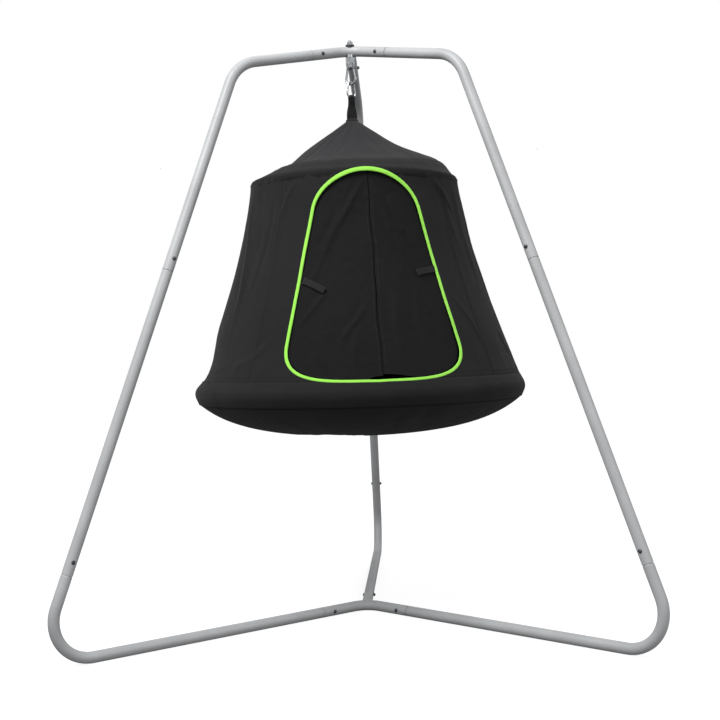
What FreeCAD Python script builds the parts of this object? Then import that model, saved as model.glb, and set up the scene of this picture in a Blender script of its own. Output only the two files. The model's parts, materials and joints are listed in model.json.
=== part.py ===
import FreeCAD, Part
import math
import os
import Sketcher
from FreeCAD import Placement, Rotation, Vector

doc = FreeCAD.newDocument("hanging_pod_swing")
sheet = doc.addObject("Spreadsheet::Sheet", "Sizes")

# Every size that can be chosen by itself, in millimetres and degrees.
SIZES = [
    # stand tubes
    ("tube_od", 35.0, "outer diameter of the stand tube"),
    ("tube_id", 31.0, "bore of the stand tube"),
    ("spigot_fit", 0.1, "gap all round a spigot in its tube"),
    ("spigot_wall", 1.8, "wall of a drawn-down spigot"),
    ("spigot_len", 80.0, "how far a spigot goes in"),
    ("neck_len", 4.0, "short cone where a tube is drawn down"),
    # stand shape
    ("hub_height", 1962.0, "tube centre at the top hub above the floor"),
    ("corner_height", 1863.0, "tube corner at the top of a leg"),
    ("corner_reach", 463.0, "hub to the corner at the top of a leg"),
    ("foot_reach", 1198.0, "hub to the corner at the foot of a leg"),
    ("front_angle", 51.0, "each front leg, turned from straight ahead"),
    ("corner_bend", 135.0, "bend radius at the top of a leg"),
    ("foot_bend", 120.0, "bend radius at the foot"),
    ("hub_bend", 70.0, "bend radius of the front tube in a hub"),
    ("hub_branch", 52.0, "hub to where its rear arm straightens"),
    ("top_joint", 171.0, "hub to the joint in an arm"),
    ("floor_joint", 189.0, "hub to the joint in a floor tube"),
    ("upper_joint", 733.0, "top corner to the first joint down a leg"),
    ("lower_joint", 277.0, "foot corner to the last joint in a leg"),
    ("bolt_back", 40.0, "joint to its bolt"),
    # frame bolts and cap nuts
    ("bolt_d", 6.0, "frame bolt shank"),
    ("bolt_hole_fit", 0.25, "gap all round a frame bolt"),
    ("bolt_head_d", 13.0, "domed head"),
    ("bolt_head_h", 4.5, "height of the domed head"),
    ("nut_af", 10.0, "frame nut across the flats"),
    ("nut_h", 5.0, "frame nut height"),
    ("bolt_end", 2.0, "thread that shows past a nut"),
    # hanger
    ("hanger_d", 10.0, "hanger bolt shank"),
    ("hanger_hole_fit", 0.2, "gap all round the hanger bolt in the hub"),
    ("hanger_head_d", 15.0, "hanger bolt head"),
    ("hanger_head_h", 6.0, "height of the hanger bolt head"),
    ("hanger_end", 6.0, "thread that shows past the hanger nut"),
    ("hanger_nut_af", 17.0, "hanger nut across the flats"),
    ("hanger_nut_h", 9.0, "hanger nut height"),
    ("hanger_washer_d", 26.0, "steel washer under the hanger nut"),
    ("hanger_washer_h", 2.0, "thickness of that washer"),
    ("saddle_d", 31.0, "round saddles above and below the hub"),
    ("saddle_h", 5.0, "saddle standing out past the tube"),
    ("saddle_wrap", 6.0, "how far a saddle wraps down the tube"),
    ("swivel_fit", 0.08, "running gap round and above the swivel"),
    ("yoke_w", 31.0, "swivel yoke width"),
    ("yoke_drop", 37.0, "top of the yoke to its lowest point"),
    ("yoke_gap", 20.0, "space between the two yoke plates"),
    ("yoke_plate", 4.0, "yoke plate thickness"),
    ("yoke_pin_drop", 26.5, "top of the yoke to its pin"),
    ("pin_d", 8.0, "yoke pin"),
    ("pin_head_d", 22.0, "round head of the yoke pin"),
    ("pin_head_h", 4.0, "height of that head"),
    ("pin_socket_d", 9.0, "socket in the pin head"),
    # snap hooks
    ("hook_wire", 8.0, "upper snap hook wire"),
    ("hook_len", 80.0, "upper snap hook length"),
    ("hook_top_r", 11.0, "upper snap hook, small end"),
    ("hook_low_r", 18.0, "upper snap hook, large end"),
    ("hook_turn", -25.0, "upper snap hook turned from the stand"),
    ("link_wire", 6.0, "lower snap hook wire"),
    ("link_len", 60.0, "lower snap hook length"),
    ("link_top_r", 12.0, "lower snap hook, small end"),
    ("link_low_r", 16.0, "lower snap hook, large end"),
    ("link_turn", 35.0, "lower snap hook turned from the stand"),
    ("chain_fit", 0.08, "gap where one link hangs in the next"),
    ("gate_fit", 0.6, "gap between a gate and its hook"),
    ("gate_pin_d", 2.0, "pin that a gate turns on"),
    ("gate_pin_fit", 0.05, "running gap round a gate pin"),
    # pod
    ("pod_turn", 9.0, "pod turned on its swivel"),
    ("cloth", 2.0, "thickness of the pod cloth"),
    ("web_w", 40.0, "hanging loop webbing width"),
    ("web_fold_w", 18.0, "the loop gathered in the hook"),
    ("web_t", 2.5, "hanging loop webbing thickness"),
    ("web_slack", 4.0, "space between the loop and the hook wire"),
    ("apex_height", 1716.0, "tip of the roof"),
    ("apex_r", 20.0, "radius of the roof at its tip"),
    ("shoulder_r", 352.0, "upper hoop radius, to the rod centre"),
    ("shoulder_height", 1491.0, "upper hoop height"),
    ("rod_d", 9.0, "upper hoop rod"),
    ("welt_d", 15.0, "welt sewn round the upper hoop"),
    ("hoop_r", 556.0, "lower hoop radius, to the tube centre"),
    ("hoop_height", 781.0, "lower hoop height"),
    ("hoop_od", 22.0, "lower hoop tube"),
    ("hoop_id", 19.0, "bore of the lower hoop tube"),
    ("hoop_spigot_deg", 5.0, "arc of a lower hoop spigot"),
    ("sleeve_up", 40.0, "lower sleeve above the hoop centre"),
    ("sleeve_down", 38.0, "lower sleeve below the hoop centre"),
    ("sleeve_out", 16.5, "lower sleeve outside the hoop centre line"),
    ("bowl_drop", 160.0, "lower hoop centre to the lowest point"),
    ("strap_w", 25.0, "load strap width"),
    ("strap_t", 1.5, "load strap thickness"),
    # door
    ("sill_height", 820.0, "lowest point of the door"),
    ("door_height", 672.0, "door, from lowest to highest point"),
    ("door_low_half", 272.0, "half of the door width near the sill"),
    ("door_high_half", 172.0, "half of the door width below the arch"),
    ("door_low_rise", 114.0, "sill to where the sides run straight"),
    ("arch_rise", 125.0, "height of the arch"),
    ("piping_w", 13.0, "binding round the door, seen from the front"),
    ("piping_t", 5.0, "thickness of that binding"),
    ("flap_gap", 3.5, "gap between a flap and the binding"),
    ("flap_part", 5.0, "gap between the two flaps"),
    ("flap_in", 4.0, "flaps set back from the wall face"),
    ("tab_len", 76.0, "tie tab length"),
    ("tab_w", 20.0, "tie tab width"),
    ("tab_t", 2.0, "tie tab thickness"),
    ("tab_height", 1124.0, "left tie tab height"),
    ("tab_rise", 38.0, "right tie tab above the left one"),
    ("tab_slope", 21.0, "tie tab, turned from level"),
]
for row, (name, value, note) in enumerate(SIZES, start=1):
    sheet.set("A%d" % row, name)
    sheet.set("B%d" % row, str(value))
    sheet.setAlias("B%d" % row, name)
    sheet.set("C%d" % row, note)
S = {name: value for name, value, note in SIZES}
doc.recompute()

NODES = []
count = {"n": 0}




def name_of(label):
    count["n"] += 1
    return "%s_%03d" % (label, count["n"])


def link(obj, prop, expression):
    """Tie a property to an expression that uses the size names."""
    words = expression.replace("(", " ( ").replace(")", " ) ")
    for mark in "+-*/":
        words = words.replace(mark, " %s " % mark)
    tied = " ".join("Sizes." + w if w in S else w for w in words.split())
    obj.setExpression(prop, tied)


def keep(obj, label, placement=None):
    """Name a finished piece and put it in the list that is written out."""
    obj.Label = label
    if placement is not None:
        obj.Placement = placement.multiply(obj.Placement)
    NODES.append(obj)
    return obj


def turned(deg, at=Vector(0, 0, 0)):
    return Placement(at, Rotation(Vector(0, 0, 1), deg))


def frame_axes(x_dir, z_dir, at):
    z = Vector(z_dir).normalize()
    x = Vector(x_dir).normalize()
    return Placement(at, Rotation(x, z.cross(x), z, "ZXY"))


def rod(at, along, length, radius):
    """Cylinder from a point along a direction; radius is an expression."""
    c = doc.addObject("Part::Cylinder", name_of("rod"))
    link(c, "Radius", radius)
    c.Height = length
    c.Placement = Placement(at, Rotation(Vector(0, 0, 1), along))
    return c


def cone(at, along, length, r1, r2):
    c = doc.addObject("Part::Cone", name_of("cone"))
    link(c, "Radius1", r1)
    link(c, "Radius2", r2)
    c.Height = length
    c.Placement = Placement(at, Rotation(Vector(0, 0, 1), along))
    return c


def ring(centre, start_dir, axis, big, small, sweep=360.0):
    """Torus or part of one; big and small are expressions."""
    t = doc.addObject("Part::Torus", name_of("ring"))
    link(t, "Radius1", big)
    link(t, "Radius2", small)
    t.Angle1 = -180
    t.Angle2 = 180
    t.Angle3 = sweep
    t.Placement = frame_axes(start_dir, axis, centre)
    return t


def block(x0, x1, y0, y1, z0, z1):
    b = doc.addObject("Part::Box", name_of("block"))
    b.Length, b.Width, b.Height = x1 - x0, y1 - y0, z1 - z0
    b.Placement = Placement(Vector(x0, y0, z0), Rotation())
    return b


def fuse(parts, label="fuse"):
    if len(parts) == 1:
        return parts[0]
    f = doc.addObject("Part::MultiFuse", name_of(label))
    f.Shapes = parts
    return f


def cut(base, tool, label="cut"):
    c = doc.addObject("Part::Cut", name_of(label))
    c.Base = base
    c.Tool = tool
    return c


def plain(shape, label):
    """Free form piece that no primitive or sketch describes."""
    f = doc.addObject("Part::Feature", name_of(label))
    f.Shape = shape
    return f


def turned_body(label, profile):
    """Body turned round Z from a closed profile of (radius, height) expressions."""
    body = doc.addObject("PartDesign::Body", name_of(label))
    sk = body.newObject("Sketcher::SketchObject", name_of("profile"))
    plane = [f for f in body.Origin.OriginFeatures if f.Role == "XZ_Plane"][0]
    sk.AttachmentSupport = [(plane, "")]
    sk.MapMode = "FlatFace"
    numbers = [(size_value(x), size_value(z)) for x, z in profile]
    n = len(profile)
    for i in range(n):
        a, b = numbers[i], numbers[(i + 1) % n]
        sk.addGeometry(Part.LineSegment(Vector(a[0], a[1], 0), Vector(b[0], b[1], 0)), False)
    for i in range(n):
        sk.addConstraint(Sketcher.Constraint("Coincident", i, 2, (i + 1) % n, 1))
    for i, (x, z) in enumerate(profile):
        for kind, text, value, axis in (("DistanceX", x, numbers[i][0], -2),
                                        ("DistanceY", z, numbers[i][1], -1)):
            if abs(value) < 1e-9:
                sk.addConstraint(Sketcher.Constraint("PointOnObject", i, 1, axis))
                continue
            index = sk.addConstraint(Sketcher.Constraint(kind, -1, 1, i, 1, value))
            link(sk, "Constraints[%d]" % index, text)
    rev = body.newObject("PartDesign::Revolution", name_of("turn"))
    rev.Profile = sk
    rev.ReferenceAxis = (sk, ["V_Axis"])
    rev.Angle = 360
    body.Tip = rev
    return body


def hex_body(label, across, height, bore):
    """Nut: a hexagon pad standing on the origin, with a plain bore."""
    body = doc.addObject("PartDesign::Body", name_of(label))
    sk = body.newObject("Sketcher::SketchObject", name_of("hexagon"))
    plane = [f for f in body.Origin.OriginFeatures if f.Role == "XY_Plane"][0]
    sk.AttachmentSupport = [(plane, "")]
    sk.MapMode = "FlatFace"
    r = size_value(across) / math.sqrt(3)
    pts = [Vector(r * math.cos(math.radians(60 * i)), r * math.sin(math.radians(60 * i)), 0)
           for i in range(6)]
    for i in range(6):
        sk.addGeometry(Part.LineSegment(pts[i], pts[(i + 1) % 6]), False)
    sk.addGeometry(Part.Circle(Vector(0, 0, 0), Vector(0, 0, 1), size_value(bore) / 2), False)
    index = sk.addConstraint(Sketcher.Constraint("Radius", 6, size_value(bore) / 2))
    link(sk, "Constraints[%d]" % index, "(%s)/2" % bore)
    pad = body.newObject("PartDesign::Pad", name_of("pad"))
    pad.Profile = sk
    link(pad, "Length", height)
    body.Tip = pad
    return body


def size_value(text):
    """Number that an expression of size names comes to."""
    words = text.replace("(", " ( ").replace(")", " ) ")
    for mark in "+-*/":
        words = words.replace(mark, " %s " % mark)
    total = doc.Sizes.evalExpression(" ".join(words.split()))
    return float(getattr(total, "Value", total))


# ---------------------------------------------------------------- stand
def path_pieces(points, bends, radius):
    """Straight rods and ring sectors along a line of points in the XZ plane."""
    out = []
    start = points[0]
    for i in range(1, len(points)):
        here = points[i]
        run = (here - points[i - 1]).normalize()
        if i == len(points) - 1:
            out.append(rod(start, run, (here - start).Length, radius))
            break
        nxt = (points[i + 1] - here).normalize()
        turn = run.getAngle(nxt)
        bend = size_value(bends[i - 1])
        back = bend * math.tan(turn / 2)
        arc_in = here - run * back
        out.append(rod(start, run, (arc_in - start).Length, radius))
        axis = run.cross(nxt).normalize()
        inward = axis.cross(run)
        centre = arc_in + inward * bend
        out.append(ring(centre, arc_in - centre, axis, bends[i - 1], radius,
                        math.degrees(turn)))
        start = here + nxt * back
    return out


def along(a, b, distance):
    return a + (b - a).normalize() * distance


def cross_holes(points, axis=Vector(0, 1, 0)):
    """Bolt holes across a tube, straight through along an axis."""
    reach = S["tube_od"]
    return [rod(p - axis * reach, axis, 2 * reach, "bolt_d/2+bolt_hole_fit") for p in points]


FLOOR_Z = S["tube_od"] / 2
HUB = Vector(0, 0, S["hub_height"])
HUB_LOW = Vector(0, 0, FLOOR_Z)
CORNER = Vector(S["corner_reach"], 0, S["corner_height"])
FOOT = Vector(S["foot_reach"], 0, FLOOR_Z)

JOINT_TOP = along(HUB, CORNER, S["top_joint"])
JOINT_UP = along(CORNER, FOOT, S["upper_joint"])
JOINT_LOW = along(FOOT, CORNER, S["lower_joint"])
JOINT_FLOOR = along(HUB_LOW, FOOT, S["floor_joint"])

OUT, BORE = "tube_od/2", "tube_id/2"
SPIGOT, SPIGOT_BORE = "tube_id/2-spigot_fit", "tube_id/2-spigot_fit-spigot_wall"
spigot_len, neck_len, bolt_back = S["spigot_len"], S["neck_len"], S["bolt_back"]

BOLT_AT = {
    "top": along(JOINT_TOP, HUB, bolt_back),
    "up": along(JOINT_UP, CORNER, bolt_back),
    "low": along(JOINT_LOW, CORNER, bolt_back),
    "floor": along(JOINT_FLOOR, HUB_LOW, bolt_back),
}


def spigot_end(joint, towards_tube):
    """Outer and bore pieces of a drawn-down end; the joint is the plane it meets."""
    d = Vector(towards_tube).normalize()
    tip = joint - d * spigot_len
    outer = [rod(tip, d, spigot_len, SPIGOT), cone(joint, d, neck_len, SPIGOT, OUT)]
    bore = [rod(tip - d, d, spigot_len + 1, SPIGOT_BORE),
            cone(joint, d, neck_len, SPIGOT_BORE, BORE)]
    return outer, bore


def tube(points, bends, spigots, holes):
    """Hollow bent tube; spigots says which ends are drawn down."""
    outer_points, bore_points = list(points), list(points)
    extra_outer, extra_bore = [], []
    for end in (0, -1):
        inner = points[1] if end == 0 else points[-2]
        d = (inner - points[end]).normalize()
        if end in spigots:
            outer, bore = spigot_end(points[end], d)
            extra_outer += outer
            extra_bore += bore
            outer_points[end] = bore_points[end] = points[end] + d * neck_len
        else:
            bore_points[end] = points[end] - d
    body = fuse(path_pieces(outer_points, bends, OUT) + extra_outer, "tube_outer")
    bore = fuse(path_pieces(bore_points, bends, BORE) + extra_bore + cross_holes(holes),
                "tube_bore")
    return body, bore


upper = tube([JOINT_TOP, CORNER, JOINT_UP], ["corner_bend"], (0,),
             [BOLT_AT["top"], BOLT_AT["up"]])
middle = tube([JOINT_UP, JOINT_LOW], [], (0,), [BOLT_AT["up"], BOLT_AT["low"]])
lower = tube([JOINT_LOW, FOOT, JOINT_FLOOR], ["foot_bend"], (0, -1),
             [BOLT_AT["low"], BOLT_AT["floor"]])

# The hanging line is the Z axis. The front tube of each hub bends through it,
# so the three legs meet a little behind it.
HALF_TURN = 90.0 - S["front_angle"]
MEET = Vector(0, S["hub_bend"] * (1 / math.cos(math.radians(HALF_TURN)) - 1), 0)
LEGS = {
    "left": -90.0 - S["front_angle"],
    "right": -90.0 + S["front_angle"],
    "rear": 90.0,
}
for side, angle in LEGS.items():
    spot = turned(angle, MEET)
    keep(cut(*upper, "upper_leg"), "upper_leg_tube_" + side, spot)
    keep(cut(*middle, "middle_leg"), "middle_leg_tube_" + side, spot)
    keep(cut(*lower, "lower_leg"), "lower_leg_tube_" + side, spot)


def hub(label, centre, joint, bolt_key, through):
    """Three-way hub: one bent front tube with the rear arm welded to it."""
    ends = {side: turned(angle, MEET).multVec(joint) for side, angle in LEGS.items()}
    meet = MEET + Vector(0, 0, centre.z)
    bolts = {side: turned(angle, MEET).multVec(BOLT_AT[bolt_key]) for side, angle in LEGS.items()}
    middle_way = ((ends["left"] - meet).normalize() + (ends["right"] - meet).normalize()) * 0.5
    bend_back = S["hub_bend"] * (1 / math.sqrt(1 - middle_way.Length ** 2) - 1)
    crest = meet + middle_way.normalize() * bend_back

    def arms(extra, radius):
        pts = [ends["left"], meet, ends["right"]]
        pts[0] = pts[0] + (pts[0] - meet).normalize() * extra
        pts[2] = pts[2] + (pts[2] - meet).normalize() * extra
        rear = (ends["rear"] - meet).normalize()
        line = [crest, meet + rear * S["hub_branch"], ends["rear"] + rear * extra]
        if abs(rear.z) < 1e-6:
            line.pop(1)
        return path_pieces(pts, ["hub_bend"], radius) + path_pieces(line, ["hub_bend"], radius)

    holes = []
    for side, angle in LEGS.items():
        across = Vector(-math.sin(math.radians(angle)), math.cos(math.radians(angle)), 0)
        holes += cross_holes([bolts[side]], across)
    if through:
        holes.append(rod(centre - Vector(0, 0, 60), Vector(0, 0, 1), 120,
                         "hanger_d/2+hanger_hole_fit"))
    body = fuse(arms(0, OUT), "hub_outer")
    bore = fuse(arms(1, BORE) + holes, "hub_bore")
    return keep(cut(body, bore, "hub"), label, Placement())


hub("top_hub", HUB, JOINT_TOP, "top", True)
hub("bottom_hub", HUB_LOW, JOINT_FLOOR, "floor", False)

# Bolt heads are on the side that faces forward on the front legs.
half_tube = "tube_od/2"
bolt = turned_body("frame_bolt", [
    ("0", "tube_od/2+bolt_head_h"), ("bolt_head_d/4", "tube_od/2+bolt_head_h*0.86"),
    ("bolt_head_d*0.42", "tube_od/2+bolt_head_h*0.5"), ("bolt_head_d/2", "tube_od/2"),
    ("bolt_d/2", "tube_od/2"), ("bolt_d/2", "0-tube_od/2-nut_h-bolt_end"),
    ("0", "0-tube_od/2-nut_h-bolt_end")])
nut = hex_body("frame_nut", "nut_af", "nut_h", "bolt_d")
doc.recompute()


def bolt_spots():
    spots = []
    for side, angle in LEGS.items():
        facing = -1.0 if side == "right" else 1.0
        for key in ("top", "up", "low", "floor"):
            at = turned(angle, MEET).multVec(BOLT_AT[key])
            a = math.radians(angle)
            across = Vector(-math.sin(a), math.cos(a), 0) * facing
            spots.append(Placement(at, Rotation(Vector(0, 0, 1), across)))
    return spots


def group(label, source, spots, offset=Placement()):
    copies = []
    for spot in spots:
        one = source.Shape.copy()
        one.Placement = spot.multiply(offset)
        copies.append(one)
    return keep(plain(Part.makeCompound(copies), label), label)


group("frame_bolts", bolt, bolt_spots())
group("frame_nuts", nut, bolt_spots(),
      Placement(Vector(0, 0, -S["tube_od"] / 2 - S["nut_h"]), Rotation()))

# ---------------------------------------------------------------- hanger
# The arms of the top hub slope down, so its bent tube passes a little under their meeting point.
arm = (JOINT_TOP - HUB).normalize()
bisector = Vector(0, -arm.x * math.cos(math.radians(S["front_angle"])), arm.z)
bend_back = S["hub_bend"] * (1 / math.sqrt(1 - bisector.Length ** 2) - 1)
tube_r = S["tube_od"] / 2
tube_z = S["hub_height"] + bisector.normalize().z * bend_back
tube_top = tube_z + tube_r
tube_low = tube_z - tube_r


def saddle(label, up):
    """Round pad hollowed to sit on the bent hub tube, with the hanger hole."""
    if up:
        at, height = tube_top - S["saddle_wrap"], S["saddle_wrap"] + S["saddle_h"]
    else:
        at, height = tube_low - S["saddle_h"], S["saddle_wrap"] + S["saddle_h"]
    pad = rod(Vector(0, 0, at), Vector(0, 0, 1), height, "saddle_d/2")
    hole = rod(Vector(0, 0, at - 1), Vector(0, 0, 1), height + 2, "hanger_d/2+hanger_hole_fit")
    seat = [o for o in doc.Objects if o.Name.startswith("hub_outer")][0]
    return keep(cut(pad, fuse([hole, seat], "saddle_cut"), "saddle"), label, Placement())


saddle("top_saddle", True)
saddle("bottom_saddle", False)

washer_z = tube_top + S["saddle_h"]
nut_z = washer_z + S["hanger_washer_h"]
yoke_top = tube_low - S["saddle_h"] - S["swivel_fit"]
bridge = S["yoke_plate"]
head_top = yoke_top - bridge - S["swivel_fit"]
washer = turned_body("hanger_washer", [
    ("hanger_d/2", "0"), ("hanger_washer_d/2", "0"),
    ("hanger_washer_d/2", "hanger_washer_h"), ("hanger_d/2", "hanger_washer_h")])
keep(washer, "hanger_washer", Placement(Vector(0, 0, washer_z), Rotation()))
hanger_nut = hex_body("hanger_nut", "hanger_nut_af", "hanger_nut_h", "hanger_d")
keep(hanger_nut, "hanger_nut", Placement(Vector(0, 0, nut_z), Rotation()))
bolt_len = "2*saddle_h+tube_od+2*swivel_fit+yoke_plate+hanger_washer_h+hanger_nut_h+hanger_end"
hanger = turned_body("hanger_bolt", [
    ("0", "0-hanger_head_h"), ("hanger_head_d*0.42", "0-hanger_head_h"),
    ("hanger_head_d/2", "0-hanger_head_h*0.7"), ("hanger_head_d/2", "0"),
    ("hanger_d/2", "0"), ("hanger_d/2", bolt_len), ("0", bolt_len)])
keep(hanger, "hanger_bolt", Placement(Vector(0, 0, head_top), Rotation()))

# Swivel yoke: a strap bent over the bolt head into two plates.
half_w, half_gap = S["yoke_w"] / 2, S["yoke_gap"] / 2
plate_y = half_gap + S["yoke_plate"]
yoke_low = yoke_top - S["yoke_drop"]
pin_z = yoke_top - S["yoke_pin_drop"]
round_z = yoke_low + half_w * 0.75
slab = block(-half_w, half_w, -plate_y, plate_y, round_z, yoke_top)
toe = rod(Vector(0, -plate_y, round_z), Vector(0, 1, 0), 2 * plate_y, "yoke_w/2")
toe_trim = block(-half_w - 1, half_w + 1, -plate_y - 1, plate_y + 1,
                 yoke_low - half_w, yoke_low)
inside = block(-half_w - 1, half_w + 1, -half_gap, half_gap,
               yoke_low - 1, yoke_top - bridge)
shoulder_l = block(-half_w - 1, -half_w + 5, -plate_y - 1, plate_y + 1, yoke_top - 5, yoke_top + 1)
shoulder_r = block(half_w - 5, half_w + 1, -plate_y - 1, plate_y + 1, yoke_top - 5, yoke_top + 1)
round_l = rod(Vector(-half_w + 5, -plate_y - 1, yoke_top - 5), Vector(0, 1, 0),
              2 * plate_y + 2, "5")
round_r = rod(Vector(half_w - 5, -plate_y - 1, yoke_top - 5), Vector(0, 1, 0),
              2 * plate_y + 2, "5")
corner_l, corner_r = cut(shoulder_l, round_l), cut(shoulder_r, round_r)
bolt_way = rod(Vector(0, 0, yoke_top - 10), Vector(0, 0, 1), 20, "hanger_d/2+swivel_fit")
pin_way = rod(Vector(0, -30, pin_z), Vector(0, 1, 0), 60, "pin_d/2")
yoke = cut(fuse([slab, toe], "yoke_solid"),
           fuse([inside, toe_trim, corner_l, corner_r, bolt_way, pin_way], "yoke_ways"), "yoke")
keep(yoke, "swivel_yoke", Placement())
pin = turned_body("yoke_pin", [
    ("0", "pin_head_h*0.35"), ("pin_socket_d/2", "pin_head_h*0.35"),
    ("pin_socket_d/2", "pin_head_h"), ("pin_head_d*0.36", "pin_head_h"),
    ("pin_head_d/2", "pin_head_h*0.45"), ("pin_head_d/2", "0"), ("pin_d/2", "0"),
    ("pin_d/2", "0-yoke_gap-2*yoke_plate-nut_h-bolt_end"),
    ("0", "0-yoke_gap-2*yoke_plate-nut_h-bolt_end")])
keep(pin, "yoke_pin", Placement(Vector(0, -plate_y, pin_z), Rotation(Vector(1, 0, 0), 90)))
pin_nut = hex_body("yoke_pin_nut", "nut_af+4", "nut_h", "pin_d")
keep(pin_nut, "yoke_pin_nut",
     Placement(Vector(0, plate_y + S["nut_h"], pin_z), Rotation(Vector(1, 0, 0), 90)))


# ---------------------------------------------------------------- snap hooks
def snap_hook(label, wire, length, top_r, low_r, top_z, spin):
    """Pear-shaped hook in the XZ plane with a gate in its right-hand side."""
    w, full, r1, r2 = S[wire], S[length], S[top_r], S[low_r]
    half = w / 2
    centre_gap = full - w - r1 - r2
    tilt = math.asin((r2 - r1) / centre_gap)
    c1 = Vector(0, 0, top_z - r1)
    c2 = Vector(0, 0, top_z - r1 - centre_gap)
    out = Vector(math.cos(tilt), 0, math.sin(tilt))
    side_top, side_low = c1 + out * r1, c2 + out * r2
    run = (side_top - side_low).normalize()
    side_len = (side_top - side_low).Length
    radius = "%s/2" % wire

    def mirror(v):
        return Vector(-v.x, v.y, v.z)

    tilt_deg = math.degrees(tilt)
    y_axis = Vector(0, 1, 0)
    top_arc = ring(c1, mirror(out), y_axis, top_r, radius, 180 - 2 * tilt_deg)
    low_arc = ring(c2, out, y_axis, low_r, radius, 180 + 2 * tilt_deg)
    spine = rod(mirror(side_low), mirror(run), side_len, radius)
    # The gate takes most of the right-hand side; tongues on the hook fill its two slots.
    nose_len, root_len, slot = 0.12 * side_len, 0.10 * side_len, 0.34 * w
    nose = rod(side_top - run * nose_len, run, nose_len, radius)
    root = rod(side_low, run, root_len, radius)
    tongue_w = 0.62 * w
    hinge = side_low + run * (root_len + 0.5 * w)
    tilt_spot = Rotation(Vector(0, 0, 1), run)

    def tongue(at, reach):
        t = doc.addObject("Part::Box", name_of("tongue"))
        t.Length, t.Width, t.Height = tongue_w, slot - 2 * S["gate_fit"], abs(reach)
        base = at if reach > 0 else at + run * reach
        corner = tilt_spot.multVec(Vector(-tongue_w / 2, -(slot / 2 - S["gate_fit"]), 0))
        t.Placement = Placement(base + corner, tilt_spot)
        return t

    root_tongue = tongue(side_low + run * root_len, 0.95 * w)
    nose_tongue = tongue(side_top - run * nose_len, -0.45 * w)
    pin_hole = rod(hinge - y_axis * w, y_axis, 2 * w, "gate_pin_d/2")
    hook = cut(fuse([top_arc, low_arc, spine, nose, root, root_tongue, nose_tongue], "hook"),
               pin_hole, "hook")
    spot = turned(spin)
    keep(hook, label, spot)

    fit = S["gate_fit"]
    gate_low = side_low + run * (root_len + fit)
    gate_top = side_top - run * (nose_len + fit)
    gate_r = "%s*0.46" % wire
    bar = rod(gate_low, run, (gate_top - gate_low).Length, gate_r)

    def slot_cut(at, reach):
        t = doc.addObject("Part::Box", name_of("slot"))
        t.Length, t.Width, t.Height = 2 * w, slot, abs(reach)
        base = at if reach > 0 else at + run * reach
        corner = tilt_spot.multVec(Vector(-w, -slot / 2, 0))
        t.Placement = Placement(base + corner, tilt_spot)
        return t

    low_slot = slot_cut(gate_low - run, 1 + 1.35 * w)
    top_slot = slot_cut(gate_top + run, -(1 + 0.75 * w))
    # The gate turns inward only, so its corners are cleared round the pin.
    gate_hole = rod(hinge - y_axis * w, y_axis, 2 * w, "gate_pin_d/2+gate_pin_fit")
    heel = rod(gate_low - run * w, run, w, radius)
    gate = cut(bar, fuse([low_slot, top_slot, gate_hole, heel], "gate_cut"), "gate")
    keep(gate, label + "_gate", spot)
    pin_len = 2 * 0.46 * w + 1.2
    pin_one = rod(hinge - y_axis * (pin_len / 2), y_axis, pin_len, "gate_pin_d/2")
    keep(pin_one, label + "_gate_pin",
         spot.multiply(Placement(hinge - y_axis * (pin_len / 2), Rotation(Vector(0, 0, 1), y_axis))))
    return {"low_z": c2.z - r2, "hinge": spot.multVec(hinge), "top": top_z}


hook_top = pin_z + S["pin_d"] / 2 + S["chain_fit"] + S["hook_wire"] / 2
upper_hook = snap_hook("upper_snap_hook", "hook_wire", "hook_len", "hook_top_r", "hook_low_r",
                       hook_top, S["hook_turn"])
link_top = upper_hook["low_z"] + (S["hook_wire"] + S["link_wire"]) / 2 + S["chain_fit"]
lower_hook = snap_hook("lower_snap_hook", "link_wire", "link_len", "link_top_r", "link_low_r",
                       link_top, S["link_turn"])
loop_z = lower_hook["low_z"]

# ---------------------------------------------------------------- pod shells
cloth = S["cloth"]
shoulder_out = S["shoulder_r"] + S["welt_d"] / 2
hoop_out = S["hoop_r"] + S["sleeve_out"]
sleeve_top = S["hoop_height"] + S["sleeve_up"]
sleeve_low = S["hoop_height"] - S["sleeve_down"]
wall_foot_r = S["hoop_r"] - 2.0


def flare(t):
    """Share of the way from shoulder to hoop radius, t from 0 at the shoulder to 1."""
    return 0.379 * t + 0.957 * t ** 2 - 0.336 * t ** 3


def wall_r(z):
    """Outside radius of the wall at a height."""
    t = (S["shoulder_height"] - z) / (S["shoulder_height"] - sleeve_top)
    t = min(max(t, -0.2), 1.3)
    return shoulder_out + (wall_foot_r - shoulder_out) * flare(t)


def curve(points):
    c = Part.BSplineCurve()
    c.interpolate([Vector(p[0], 0, p[1]) for p in points])
    return c.toShape()


def line(a, b):
    return Part.makeLine(Vector(a[0], 0, a[1]), Vector(b[0], 0, b[1]))


def skin(outer, inner):
    """Face between two open curves of (radius, height) points."""
    return Part.Face(Part.Wire([curve(outer), line(outer[-1], inner[-1]),
                                curve(inner[::-1]), line(inner[0], outer[0])]))


def spun(face, sweep=360.0, start=0.0):
    solid = face.revolve(Vector(0, 0, 0), Vector(0, 0, 1), sweep)
    solid.rotate(Vector(0, 0, 0), Vector(0, 0, 1), start)
    return solid


POD = turned(S["pod_turn"])
steps = 8
heights = [sleeve_top - 4 + (S["shoulder_height"] - 2 - sleeve_top + 4) * i / steps
           for i in range(steps + 1)]
wall_outer = [(wall_r(z), z) for z in heights]
wall_inner = [(r - cloth, z) for r, z in wall_outer]
wall_face = skin(wall_outer, wall_inner)

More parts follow.
